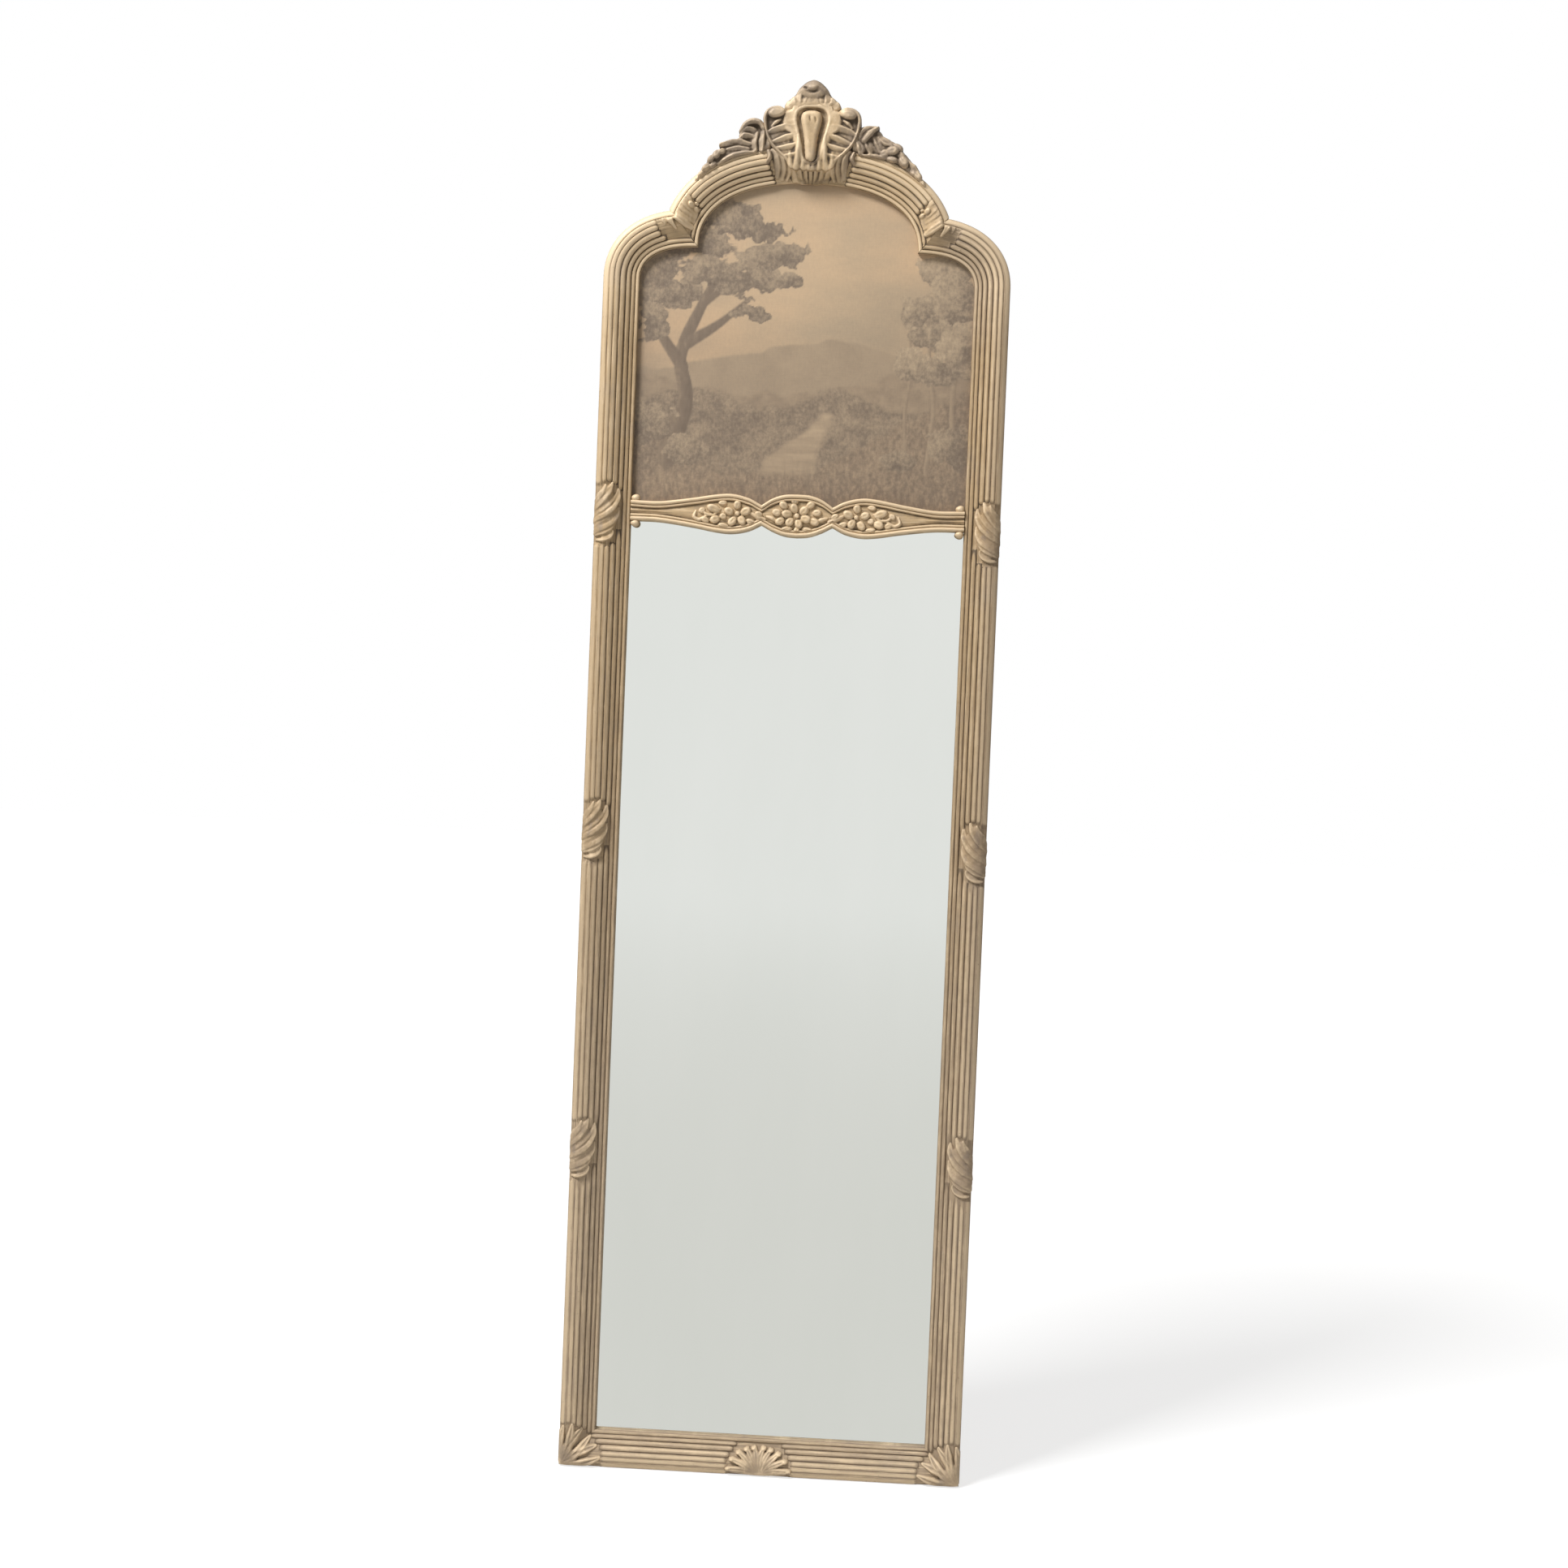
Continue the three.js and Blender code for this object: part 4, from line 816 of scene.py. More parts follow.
# Makes a carving solid: front points inside the outline, a back behind them and walls between.
# Points next to the outline are first moved onto it, so the edge runs smoothly. Carvings are laid
# out on the right, and those of the left side are mirrored.
def solidCarving(node, carving, front, back):
    step = carving.step
    away = carving.outline
    gz, gx = np.gradient(away, step)
    steep = np.maximum(np.hypot(gx, gz), 0.2)
    close = np.abs(away) < 0.62 * step
    x = carving.x - np.where(close, away * gx / steep ** 2, 0)
    z = carving.z - np.where(close, away * gz / steep ** 2, 0)
    inside = (away < 0) | close
    keep = inside[:-1, :-1] & inside[1:, :-1] & inside[:-1, 1:] & inside[1:, 1:]
    index = np.arange(away.size).reshape(away.shape)
    a, b, c, d = index[:-1, :-1], index[:-1, 1:], index[1:, 1:], index[1:, :-1]
    total = away.size
    padded = np.pad(keep, 1)
    below, above = padded[:-2, 1:-1], padded[2:, 1:-1]
    left, rightOf = padded[1:-1, :-2], padded[1:-1, 2:]
    stack = lambda mask, *corner: np.stack([q[mask] for q in corner], -1)
    walls = [stack(keep & ~free, p, q, q + total, p + total) for free, p, q in
             ((below, b, a), (above, d, c), (left, a, d), (rightOf, c, b))]
    quads = np.concatenate([stack(keep, a, b, c, d), stack(keep, a, d, c, b) + total] + walls)
    points = np.concatenate([front(x, z, carving.height).reshape(-1, 3), back(x, z).reshape(-1, 3)])
    relief = np.concatenate([carving.relief.ravel(), np.full(total, 0.42)])
    used, quads = np.unique(quads, return_inverse=True)
    quads = quads.reshape(-1, 4)
    points, relief = points[used], relief[used]
    if "left" in node:
        points = points * [-1, 1, 1]
    makePiece(node + "_carving", points, quads, looks["gilt_carving"], [node],
              {"relief": relief}, sharpAngle=60)


# Distance out from the sight line: along the mitre at the lower corners, else to the nearest
# point of the line.
def fromSight(x, z):
    x = np.abs(x)
    t = np.linspace(0, 1, 60)
    sx, sz = (np.concatenate([p, q]) for p, q in zip(shoulderPath(t)[:2], archPath(t)[:2]))
    line = np.concatenate([[[0, moulding["width"]], [sightHalf, moulding["width"]]], np.stack([sx, sz], 1)])
    least = np.hypot(*nearLine(x, z, line)[1:]).min(-1)
    corner = np.maximum(x - sightHalf, moulding["width"] - z)
    return np.where((z < moulding["width"]) & (x > sightHalf), corner, least)


def seatDepthAt(x, z):
    return grooveDepth(np.clip(moulding["width"] - fromSight(x, z), 0.3, None)) + moulding["seatDepth"]


# Front and back of a carving that lies on the moulding's plain seat.
def onSeat(x, z, height):
    return np.stack([x, seatDepthAt(x, z) - height, z], -1)


def underSeat(x, z):
    return np.stack([x, seatDepthAt(x, z) + 2.0, z], -1)


# The moulding's surface unrolled across the stile: x up to the crown, then along the outer side.
def unrolledSeat(run, z, height):
    x = np.linspace(moulding["halfWidth"] - moulding["width"], 243, 60)
    flat = np.stack([x, grooveDepth(moulding["halfWidth"] - x) + moulding["seatDepth"]], 1)
    turned = smoothLine([[243, flat[-1, 1]], [246.5, 1.9], [249.0, 4.2], [249.9, 8.5], [250.05, 20]], 12)
    line = np.vstack([flat, turned[1:]])
    place = np.concatenate([[0], np.cumsum(np.hypot(*np.diff(line, axis=0).T))])
    place = place - np.interp(243, line[:60, 0], place[:60]) + 243
    px, py = np.interp(run, place, line[:, 0]), np.interp(run, place, line[:, 1])
    tangent = np.gradient(line, axis=0)
    tangent = tangent / np.maximum(np.hypot(*tangent.T), 1e-9)[:, None]
    tx, ty = np.interp(run, place, tangent[:, 0]), np.interp(run, place, tangent[:, 1])
    size = np.hypot(tx, ty)
    return np.stack([px + ty / size * height, py - tx / size * height, z], -1)


# A ribbon of lapped leaves: strips run from the inner edge down over the outer side. The lines are
# drawn level, and each is narrowed towards the edge and falls outwards when it is laid.
ribbon = {
    "edge": 252, "narrow": 0.87, "short": 0.88, "fall": 0.42, "fallFrom": 236, "end": 43, "under": -2.4,
    "bed": [
        ([[232, 24], [229, 4], [230, -14], [232, -30]], [8, 13, 14, 8], [1.6, 2.4, 2.4, 1.8]),
        ([[244, 17], [246, 0], [246, -18]], [6, 10, 8], [1.0, 1.6, 1.2]),
    ],
    "strips": [
        ([[235, 35], [240, 26], [247, 19], [256, 16]], [1.4, 3.6, 4.2, 3.0], [2.2, 3.8, 2.9, 0.7]),
        ([[225, 34], [230, 25], [239, 16], [248, 10], [257, 8]], [1.8, 4.2, 5.0, 4.4, 3.0],
         [2.4, 4.6, 4.6, 3.0, 0.7]),
        ([[216, 4], [224, -6], [236, -12], [246, -15], [256, -16]], [1.4, 3.0, 3.6, 3.4, 2.4],
         [1.8, 3.4, 3.6, 2.6, 0.6]),
        ([[215, 22], [218, 10], [227, 1], [239, -5], [250, -7], [257, -8]], [1.8, 5.0, 6.4, 6.2, 4.6, 3.4],
         [2.4, 5.4, 6.0, 4.8, 2.6, 0.7]),
        ([[214.5, -5], [218, -14], [227, -20], [239, -23], [249, -24], [256, -24]],
         [1.6, 4.2, 5.4, 5.2, 4.2, 3.0], [2.4, 5.0, 5.6, 4.4, 2.4, 0.7]),
        ([[218, -20], [225, -28], [235, -31], [247, -30]], [1.5, 2.9, 3.2, 2.0], [2.2, 4.8, 4.6, 2.0]),
        ([[229, -30], [224, -36], [228, -41], [237, -41], [246, -37]], [2.0, 2.9, 3.2, 2.9, 1.6],
         [2.6, 4.6, 4.8, 4.0, 1.6]),
    ],
    "veins": [
        ([[217, 14], [224, 4], [237, -2.5], [250, -5]], 1.0),
        ([[217, -10], [226, -17.5], [240, -20.5]], 0.9),
        ([[229, 28], [238, 18.5], [248, 12]], 0.8),
        ([[221, 8], [228, 1.5], [240, -5]], 0.7),
    ],
}


def makeRibbon(node, height):
    carving = Carving((208, 262), (-52, 48), 0.45, -0.9)
    inward = lambda x: ribbon["edge"] - ribbon["narrow"] * (ribbon["edge"] - x)
    fallen = lambda x, z: z * ribbon["short"] - ribbon["fall"] * (x - ribbon["fallFrom"])
    for points, widths, tops in ribbon["bed"]:
        line = [[inward(x), z] for x, z in points]
        carving.over(line, [ribbon["narrow"] * w for w in widths], tops, "plump")
    for points, widths, tops in ribbon["strips"]:
        carving.over([[inward(x), fallen(x, z)] for x, z in points], widths, tops, "foldLeft", foot=0.0)
    for points, depth in ribbon["veins"]:
        carving.add([[inward(x), fallen(x, z)] for x, z in points], [0.9, 1.3, 0.9], -depth)
    carving.trim(np.abs(carving.z + 3) - ribbon["end"])
    carving.finish(1.6, seed=int(height), uneven=0.24, lift=0.13, contrast=0.85)
    solidCarving(node, carving, lambda x, z, h: unrolledSeat(x, z + height, h),
                 lambda x, z: unrolledSeat(x, z + height, np.full(x.shape, ribbon["under"])))


for side in ("left", "right"):
    for which, height in zip(("upper", "middle", "lower"), ribbonHeights[side]):
        makeRibbon(f"{side}_{which}_ribbon", height)
print("ribbons carved")

# A fan of leaves over a lower corner: tips spread from one root, each a dished leaf with a vein.
cornerLeaf = {
    "root": (247.5, 3.5),
    "tips": [(245.5, 49), (234, 52), (222.5, 46), (212.5, 35.5), (204.5, 25.5), (199, 12)],
    "bend": 0.07, "widths": [2.5, 6.2, 5.6, 2.2], "tops": [3.2, 5.4, 5.2, 2.0], "edge": 250.6,
}


def makeCornerLeaf(side):
    carving = Carving((194, 251), (-1, 56), 0.45, -0.9)
    root = np.array(cornerLeaf["root"])
    for number, tip in enumerate(cornerLeaf["tips"]):
        reach = np.array(tip, float) - root
        odd = number % 2
        aside = np.array([-reach[1], reach[0]]) * cornerLeaf["bend"] * (1 if odd else -1)
        points = [root, root + reach * 0.36 + aside, root + reach * 0.72 + aside * 0.6, root + reach]
        carving.over(points, cornerLeaf["widths"], [top + 0.5 * odd for top in cornerLeaf["tops"]], "leaf")
        carving.add(points[1:], [0.8, 1.1, 0.7], -0.8)
    inward = np.minimum(cornerLeaf["edge"] - carving.x, carving.z)
    carving.trim(-inward)
    carving.roundOff(inward, 0.4, 2.0, 8)
    carving.finish(1.5, seed=5, lift=0.12, contrast=0.9)
    solidCarving(side + "_corner_leaf", carving, onSeat, underSeat)


# The leaf over an upper corner: one broad strip along the mitre, arcs round a small scroll above
# it, and short lapped leaves beside it, all low on a soft bed.
cuspLeaf = {
    "edge": 35.3,
    "bed": [
        ([[162, 1579], [152, 1572], [145, 1560], [145, 1549]], [5, 9, 9, 6], [1.6, 2.2, 2.2, 1.6]),
        ([[168, 1558], [170, 1553], [177, 1551], [185, 1551]], [4, 6, 5, 3.6], [1.2, 1.8, 1.4, 0.9]),
    ],
    "strips": [
        ([[167, 1566], [158, 1560.5], [149, 1554.5], [141, 1550.5]], [2.6, 4.0, 4.0, 2.2],
         [2.4, 3.6, 4.0, 2.2], "fold"),
        ([[163, 1573], [156.5, 1566], [149, 1560], [140, 1556.5]], [2.6, 3.8, 3.8, 2.2],
         [2.2, 3.4, 3.8, 2.2], "fold"),
        ([[158, 1578], [153, 1571.5], [147, 1566], [140, 1562]], [2.6, 3.6, 3.4, 2.0],
         [2.2, 3.4, 3.6, 2.2], "fold"),
        ([[165, 1579], [158, 1583], [151, 1581], [146, 1575.5]], [2.6, 3.8, 3.8, 2.4],
         [1.8, 3.2, 3.4, 2.4], "fold"),
        ([[184, 1555.5], [185.5, 1551.5], [185, 1547.5]], [2.0, 3.0, 1.8], [0.9, 1.9, 0.9], "fold"),
        ([[177, 1557.5], [177.8, 1551.5], [176, 1545.5]], [2.4, 3.4, 1.8], [1.4, 2.6, 1.2], "fold"),
        ([[171.5, 1557], [170, 1550], [163, 1541]], [2.4, 4.0, 1.6], [2.4, 4.6, 2.0], "leaf"),
        ([[172.5, 1561], [161, 1553.5], [151, 1547.5], [143.8, 1543.4]], [2.8, 4.8, 5.0, 3.4],
         [2.8, 4.8, 5.2, 3.6], "plump"),
    ],
    "curls": [((138.4, 1565.2), (3.4, 3.0), 30, 4.2), ((144.6, 1569.6), (4.4, 3.6), 50, 4.8),
              ((138.2, 1571.6), (2.6, 2.4), 0, 3.0), ((157.5, 1577), (4.6, 3.2), -60, 4.4),
              ((160, 1569.6), (3.4, 2.4), -60, 4.2)],
    "veins": [[[166, 1556], [156, 1550], [147, 1545.4]], [[160, 1563.5], [150, 1557.5], [143, 1554.5]],
              [[170, 1554], [166, 1546]], [[181, 1554], [180.5, 1547]]],
}


def makeCuspLeaf(side):
    carving = Carving((128, 200), (1524, 1594), 0.45, -0.9)
    carving.lay(cuspLeaf["bed"], "plump")
    carving.lay(cuspLeaf["strips"], foot=0.4)
    for centre, size, turn, top in cuspLeaf["curls"]:
        carving.lobe(centre, size, turn, top, 0.1, 0.05, foot=0.4)
    for points in cuspLeaf["veins"]:
        carving.add(points, [0.9, 1.3, 0.9], -0.7)
    inward = cuspLeaf["edge"] - fromSight(carving.x, carving.z)
    carving.trim(-inward)
    carving.roundOff(inward, 0.2, 2.2, 9)
    carving.finish(1.5, seed=7 if side == "left" else 8, uneven=0.22)
    solidCarving(side + "_cusp_leaf", carving, onSeat, underSeat)


for side in ("left", "right"):
    makeCornerLeaf(side)
    makeCuspLeaf(side)

# Fluted rays round a root, each ending in a curl.
palmette = {
    "angles": [-80, -60, -42, -25, -9, 9, 25, 42, 60, 80],
    "lengths": [37, 37, 36, 34, 33, 33, 34, 36, 37, 37],
}


def makePalmette():
    carving = Carving((-44, 44), (-1, 42), 0.45, -0.9)
    for angle, length in zip(palmette["angles"], palmette["lengths"]):
        a = math.radians(angle)
        out = np.array([math.sin(a), math.cos(a) * 0.92])
        root, tip = np.array([out[0] * 4, 3.5]), np.array([0, 3.0]) + out * length
        middle = root + (tip - root) * 0.55 + np.array([-np.sign(angle) * 1.2, 1.6])
        carving.over([root, middle, tip], [2.2, 3.7, 4.0, 3.2], [2.2, 3.8, 5.2, 5.6], shape="leaf")
        curl = tip + np.array([math.copysign(1.2, angle), -0.6])
        carving.over([curl - [1.0, 0], curl + [1.0, 0.3]], [2.9, 2.9], [6.4, 6.4])
    carving.over([[-33, 5], [0, 3.2], [33, 5]], [2.4, 3.6, 2.4], [2.6, 3.6, 2.6])
    carving.trim(-carving.z)
    carving.roundOff(carving.z, 0.3, 2.0, 9)
    carving.finish(1.5, seed=9, lift=0.12, contrast=0.9)
    solidCarving("bottom_palmette", carving, onSeat, underSeat)


makePalmette()
print("corner, cusp and bottom leaves carved")


crossRail = {
    "top": [[206.2, 1207], [170, 1206.5], [130, 1212], [100, 1217.2], [80, 1218.4], [60, 1214], [44, 1206]],
    "topCentre": [[44, 1206], [30, 1215], [15, 1219.8], [0, 1220.5]],
    "bottom": [[206.2, 1182], [170, 1181.5], [130, 1176.5], [100, 1171.5], [80, 1170.3], [60, 1174.2],
               [44, 1182]],
    "bottomCentre": [[44, 1182], [30, 1174.6], [15, 1169.4], [0, 1168]],
    "field": 11.0, "knobs": [(x, z) for x in (-200.5, 200.5) for z in (1209.5, 1178.5)],
    # half length, depth and height of the tongue, its step into the rebate, and the tenon
    "boxes": [(206, (18.5, 31.0), (1186, 1198)), (214, (19.4, 30.9), (1186.2, 1197.8)),
              (229.2, (21, 29), (1187, 1197.5))],
}


# Half of the rail's section: distance in from the edge against depth. An outer bead, a thin inner
# bead and a shallow hollow before the field, each half an ellipse.
def railHalfSection():
    angle = np.linspace(0, np.pi, 13)[:-1]
    outer = np.stack([2.45 - 2.45 * np.cos(angle), 10.6 - 3.2 * np.sin(angle) ** 0.8], 1)
    inner = np.stack([6.7 - 1.75 * np.cos(angle), 11.4 - 2.6 * np.sin(angle) ** 0.8], 1)
    field = np.array([[8.5, 11.9], [9.6, 11.4], [11.5, 11.05]])
    return np.vstack([[[0.0, 13.0]], outer, inner, field])


def makeRail():
    def edge(side, centre):
        half = np.vstack([smoothLine(crossRail[side], 22), smoothLine(crossRail[centre], 16)[1:]])
        return np.vstack([half[:-1] * [-1, 1], half[::-1]])

    top, bottom = edge("top", "topCentre"), edge("bottom", "bottomCentre")
    section = railHalfSection()
    fieldShare = np.linspace(0, 1, 9)[1:-1]
    low = bottom[:, 1:] + section[None, :, 0]
    high = (top[:, 1:] - section[None, :, 0])[:, ::-1]
    between = low[:, -1:] + (high[:, :1] - low[:, -1:]) * fieldShare[None, :]
    z = np.concatenate([bottom[:, 1:], low, between, high, top[:, 1:]], 1)
    x = np.repeat(top[:, :1], z.shape[1], 1)
    belly = crossRail["field"] + 0.05 - 0.5 * np.sin(np.pi * fieldShare)
    depth = np.concatenate([[19.0], section[:, 1], belly, section[::-1, 1], [19.0]]) * np.ones((len(top), 1))
    quads, caps = tubeFaces(*x.shape)
    caps = [cap[::-1] for cap in caps]
    beadTop = np.clip((11.6 - depth) / 3.6, 0, 1)
    points, parts, relief, flow = [], [], [], []

    def addPart(partPoints, partQuads, partRelief, partFlow):
        parts.append(partQuads + sum(len(p) for p in points))
        points.append(partPoints.reshape(-1, 3))
        relief.append(partRelief.ravel())
        flow.append(partFlow.reshape(-1, 3))

    # the relief is high on the beads' fronts and low in the hollows, which paints a highlight on the beads
    # and shade in the hollows
    addPart(np.stack([x, depth, z], -1), quads[:, [0, 3, 2, 1]],
            np.where(depth > 12.5, 0.45, 0.16 + 0.74 * beadTop ** 0.7),
            np.stack([x * 0.03, z * 0.4, np.full_like(x, 5.0)], -1))
    faces = np.array([[0, 1, 3, 2], [4, 6, 7, 5], [0, 4, 5, 1], [2, 3, 7, 6], [0, 2, 6, 4], [1, 5, 7, 3]])
    for half, ys, zs in crossRail["boxes"]:
        corner = np.array([[i, j, k] for i in (-half, half) for j in ys for k in zs], float)
        addPart(corner, faces, np.full(8, 0.4), corner * 0.05)
    # rounded knobs at the four ends: squashed balls on the outer beads, with a relief that paints a highlight
    # on their fronts and shade on their backs
    angle, turn = np.meshgrid(np.linspace(0, np.pi, 15), np.linspace(0, 2 * np.pi, 25)[:-1])
    grid = np.arange(angle.size).reshape(angle.shape)
    beside = np.roll(grid, -1, axis=0)
    ballQuads = np.stack([grid[:, :-1], grid[:, 1:], beside[:, 1:], beside[:, :-1]], -1).reshape(-1, 4)
    for cx, cz in crossRail["knobs"]:
        ball = np.stack([cx + 5.6 * np.sin(angle) * np.cos(turn), 12.4 - 4.9 * np.cos(angle),
                         cz + (4.7 + 0.8 * np.cos(turn)) * np.sin(angle) * np.sin(turn)], -1)
        addPart(ball, ballQuads, 0.5 + 0.45 * np.cos(angle), ball * 0.05)
    makePiece("middle_rail_moulding", np.vstack(points), np.concatenate(parts), looks["gilt"],
              ["middle_rail"],
              {"relief": np.concatenate(relief), "flow": np.vstack(flow)}, caps)


makeRail()

# Lobes of the flowers and leaves: centre, half length and half width, turn, top.
railFlowers = {
    "side": {
        "range": ((38, 134), (1170, 1216)),
        "stems": [
            ([[38, 1187], [48, 1191], [58, 1196]], [2.6, 4.0, 2.6], [2.4, 4.4, 3.0]),
            ([[106, 1193.5], [114, 1189], [121, 1185.5], [127, 1189], [125, 1196]],
             [1.6, 2.2, 2.8, 2.8, 1.8], [2.2, 3.4, 4.2, 4.2, 2.4]),
            ([[95, 1199], [103, 1192], [113, 1193], [117, 1199]], [1.8, 2.2, 2.4, 1.6],
             [2.4, 3.4, 3.4, 2.2]),
        ],
        "lobes": [((74, 1205), (5.4, 4.6), 95, 5.4), ((63.5, 1197.5), (7.0, 5.2), 150, 5.4),
                  ((84, 1197), (6.0, 4.8), 20, 5.2), ((68, 1186.5), (6.2, 5.0), -120, 5.2),
                  ((79.5, 1185), (6.4, 4.8), -50, 5.0), ((103, 1199.5), (8.6, 5.2), 20, 4.6),
                  ((101, 1186.5), (6.4, 5.0), -15, 4.8), ((113, 1185.5), (5.2, 3.8), 20, 3.8),
                  ((90.5, 1179), (7.0, 3.4), 10, 4.0), ((56.5, 1184.5), (6.4, 3.8), 25, 4.2),
                  ((91, 1190.5), (4.6, 3.8), 0, 4.0), ((92, 1207), (5.2, 3.2), -5, 3.6),
                  ((47, 1194.5), (5.0, 3.6), 30, 4.6), ((117.5, 1197), (4.4, 3.6), -30, 3.4)],
        "buttons": [((73.5, 1194.5), 3.2, 5.0)],
    },
    "centre": {
        "range": ((-38, 38), (1167, 1220)),
        "stems": [
            ([[-37, 1192], [-30, 1190], [-22, 1185]], [2.2, 3.4, 2.2], [2.0, 3.8, 2.4]),
            ([[37, 1192], [30, 1190], [22, 1185]], [2.2, 3.4, 2.2], [2.0, 3.8, 2.4]),
        ],
        "lobes": [((-12, 1196), (6.6, 5.2), 170, 5.4), ((-3.5, 1203), (6.2, 5.0), 110, 5.4),
                  ((8.5, 1200.5), (6.4, 5.2), 50, 5.2), ((11, 1190.5), (6.6, 5.2), -10, 5.2),
                  ((2.5, 1184.5), (6.0, 5.0), -80, 5.2), ((-8.5, 1186.5), (6.2, 5.0), -130, 5.4),
                  ((-3, 1213.5), (5.8, 4.6), 90, 5.0), ((-16.5, 1206.5), (6.0, 4.6), 135, 4.6),
                  ((16.5, 1208), (6.2, 4.4), 40, 4.4), ((-25, 1197.5), (5.6, 4.6), 175, 4.6),
                  ((24.5, 1198.5), (5.8, 4.4), 10, 4.6), ((-20.5, 1187), (6.2, 4.6), -160, 4.8),
                  ((21.5, 1187.5), (6.4, 4.8), -15, 4.8), ((-12.5, 1177.5), (7.4, 3.4), 10, 4.0),
                  ((13.5, 1177), (7.4, 3.4), -12, 4.0), ((0.5, 1176), (4.6, 3.8), -90, 4.4)],
        "buttons": [((0, 1194), 3.6, 5.2)],
    },
}


# How far inside the rail's upper and lower edges a point lies, whichever is nearer.
def railEdgeGap(x, z):
    def edge(side, centre):
        line = np.vstack([smoothLine(crossRail[key][::-1], 12) for key in (centre, side)])
        return np.interp(np.abs(x), line[:, 0], line[:, 1])

    return np.minimum(edge("top", "topCentre") - z, z - edge("bottom", "bottomCentre"))


def makeRailFlower(node, key):
    plan = railFlowers[key]
    carving = Carving(*plan["range"], 0.4, -0.7)
    carving.lay(plan["stems"])
    vein = {"reach": 0.3, "widths": [1.0, 0.8], "depth": 0.35}
    for centre, size, turn, top in plan["lobes"]:
        carving.petal(centre, np.array(size) * 1.08, turn, top, 0.2, 0.05, vein)
    for centre, radius, top in plan["buttons"]:
        carving.lobe(centre, (radius, radius), 0, top, 0, 0.1)
    carving.trim(7.6 - railEdgeGap(carving.x, carving.z))
    carving.finish(1.2, seed=13, uneven=0.14)
    base = crossRail["field"] + 0.3
    solidCarving(node, carving, lambda x, z, height: np.stack([x, base - height, z], -1),
                 lambda x, z: flatBack(x, z, base + 2.0))


def flatBack(x, z, depth):
    return np.stack([x, np.full(x.shape, depth), z], -1)


makeRailFlower("rail_right_flower", "side")
makeRailFlower("rail_left_flower", "side")
makeRailFlower("rail_posy", "centre")
print("cross rail and flowers made")


crest = {
    "back": 19.0,
    "body": [[0, 1614.4], [4, 1616.0], [9, 1614.4], [13.4, 1616.2], [18.4, 1614.0], [22.6, 1616.4],
             [26, 1617.4], [31.2, 1625.4], [40, 1633], [48.5, 1641.3], [54, 1650.3], [57.3, 1660],
             [59, 1668], [60, 1677], [57.5, 1684.5], [51.5, 1689.3], [43, 1690.6], [36, 1688.6],
             [31, 1687.5], [22, 1691.0], [0, 1693.6]],
    "rim": ([[24.5, 1619], [29.6, 1627], [38, 1634], [46.5, 1642.3], [52, 1651], [55.6, 1660],
             [57.3, 1669], [57.6, 1677], [54.5, 1683.8], [48.5, 1687.4], [41, 1688.4], [34.5, 1685.6]],
            [1.4, 1.5, 1.5, 1.5, 1.6, 1.8, 2.1, 2.5, 2.7, 2.8, 2.6, 2.0],
            [-1.0, 6.6, 8.4, 8.8, 9.0, 9.4, 9.9, 10.4, 10.8, 10.8, 10.4, 9.4]),
    "bulb": ((43.8, 1681.8), (11.4, 6.6), -8, 12.2),
    "laps": [
        ([[19, 1664.8], [33, 1664.8], [46, 1661.2], [54.5, 1657]], [4.0, 4.6, 3.8, 2.0],
         [9.0, 9.4, 8.8, 7.6]),
        ([[17, 1655], [29, 1653.2], [41, 1648.8], [49.4, 1646]], [3.6, 4.0, 3.2, 1.6],
         [8.8, 9.0, 8.2, 7.0]),
        ([[15.5, 1644], [27, 1641.8], [37, 1639.8], [43.5, 1640]], [3.4, 3.6, 2.7, 1.4],
         [8.6, 8.6, 8.0, 6.8]),
        ([[14, 1634], [22, 1631.8], [31, 1630.6]], [3.0, 3.0, 2.0], [8.2, 8.0, 7.2]),
    ],
    "tongues": [([[38.5, 1674.4], [44, 1670.6], [49, 1665.6]], [1.9, 3.0, 1.5], [7.6, 9.0, 7.2])],
    "cuts": [
        ([[36.5, 1677.4], [42, 1677.2], [49, 1675.6], [53, 1670.5], [53.2, 1664]],
         [1.2, 2.0, 2.3, 2.2, 1.6], [5.0, 3.6, 3.0, 3.0, 4.2]),
        ([[33.4, 1688], [32.6, 1681], [34.4, 1673.5], [39, 1669], [46, 1666.4]], [1.1, 1.4, 1.6, 1.6, 1.0],
         [5.4, 4.8, 4.6, 4.2, 5.0]),
        ([[27, 1659.4], [37, 1658.4], [45, 1654.8], [51, 1651.6]], [0.9, 1.7, 1.9, 1.1],
         [4.8, 3.6, 3.2, 4.2]),
        ([[24, 1648], [33, 1646], [42, 1643.6]], [0.9, 1.6, 1.1], [4.8, 3.6, 4.2]),
        ([[21, 1637.4], [29, 1635.8], [36, 1635.2]], [0.9, 1.5, 1.0], [4.8, 3.8, 4.4]),
    ],
    "folds": [
        ([[15.5, 1655], [16.4, 1640], [17.4, 1628], [18.4, 1617.5]], [2.6, 3.2, 3.6, 3.6], 1.9),
        ([[26, 1636], [25.6, 1627], [24.6, 1617.5]], [2.0, 2.8, 2.8], 1.2),
        ([[9.6, 1627], [10.6, 1615]], [2.0, 2.6], 1.0),
        ([[2.6, 1623], [2.0, 1615]], [2.0, 2.2], 0.8),
    ],
    "lines": [([[24, 1677], [26.5, 1671], [31, 1667.4]], 0.35), ([[29, 1651.8], [37, 1649.2]], 0.3)],
    "band": (5.6, 8.0), "lip": (8.8, 2.4, 3.4),
    "recess": [[0, 1621.5], [4, 1622.3], [7.2, 1624.8], [10, 1629.5], [11, 1636], [11.6, 1643],
               [13.6, 1651], [15.4, 1658], [17.6, 1666], [19.2, 1673], [18.8, 1680], [15.5, 1685.5],
               [9, 1688.6], [0, 1689.4]],
}


def standing(x, z, height):
    return np.stack([x, -height, z], -1)


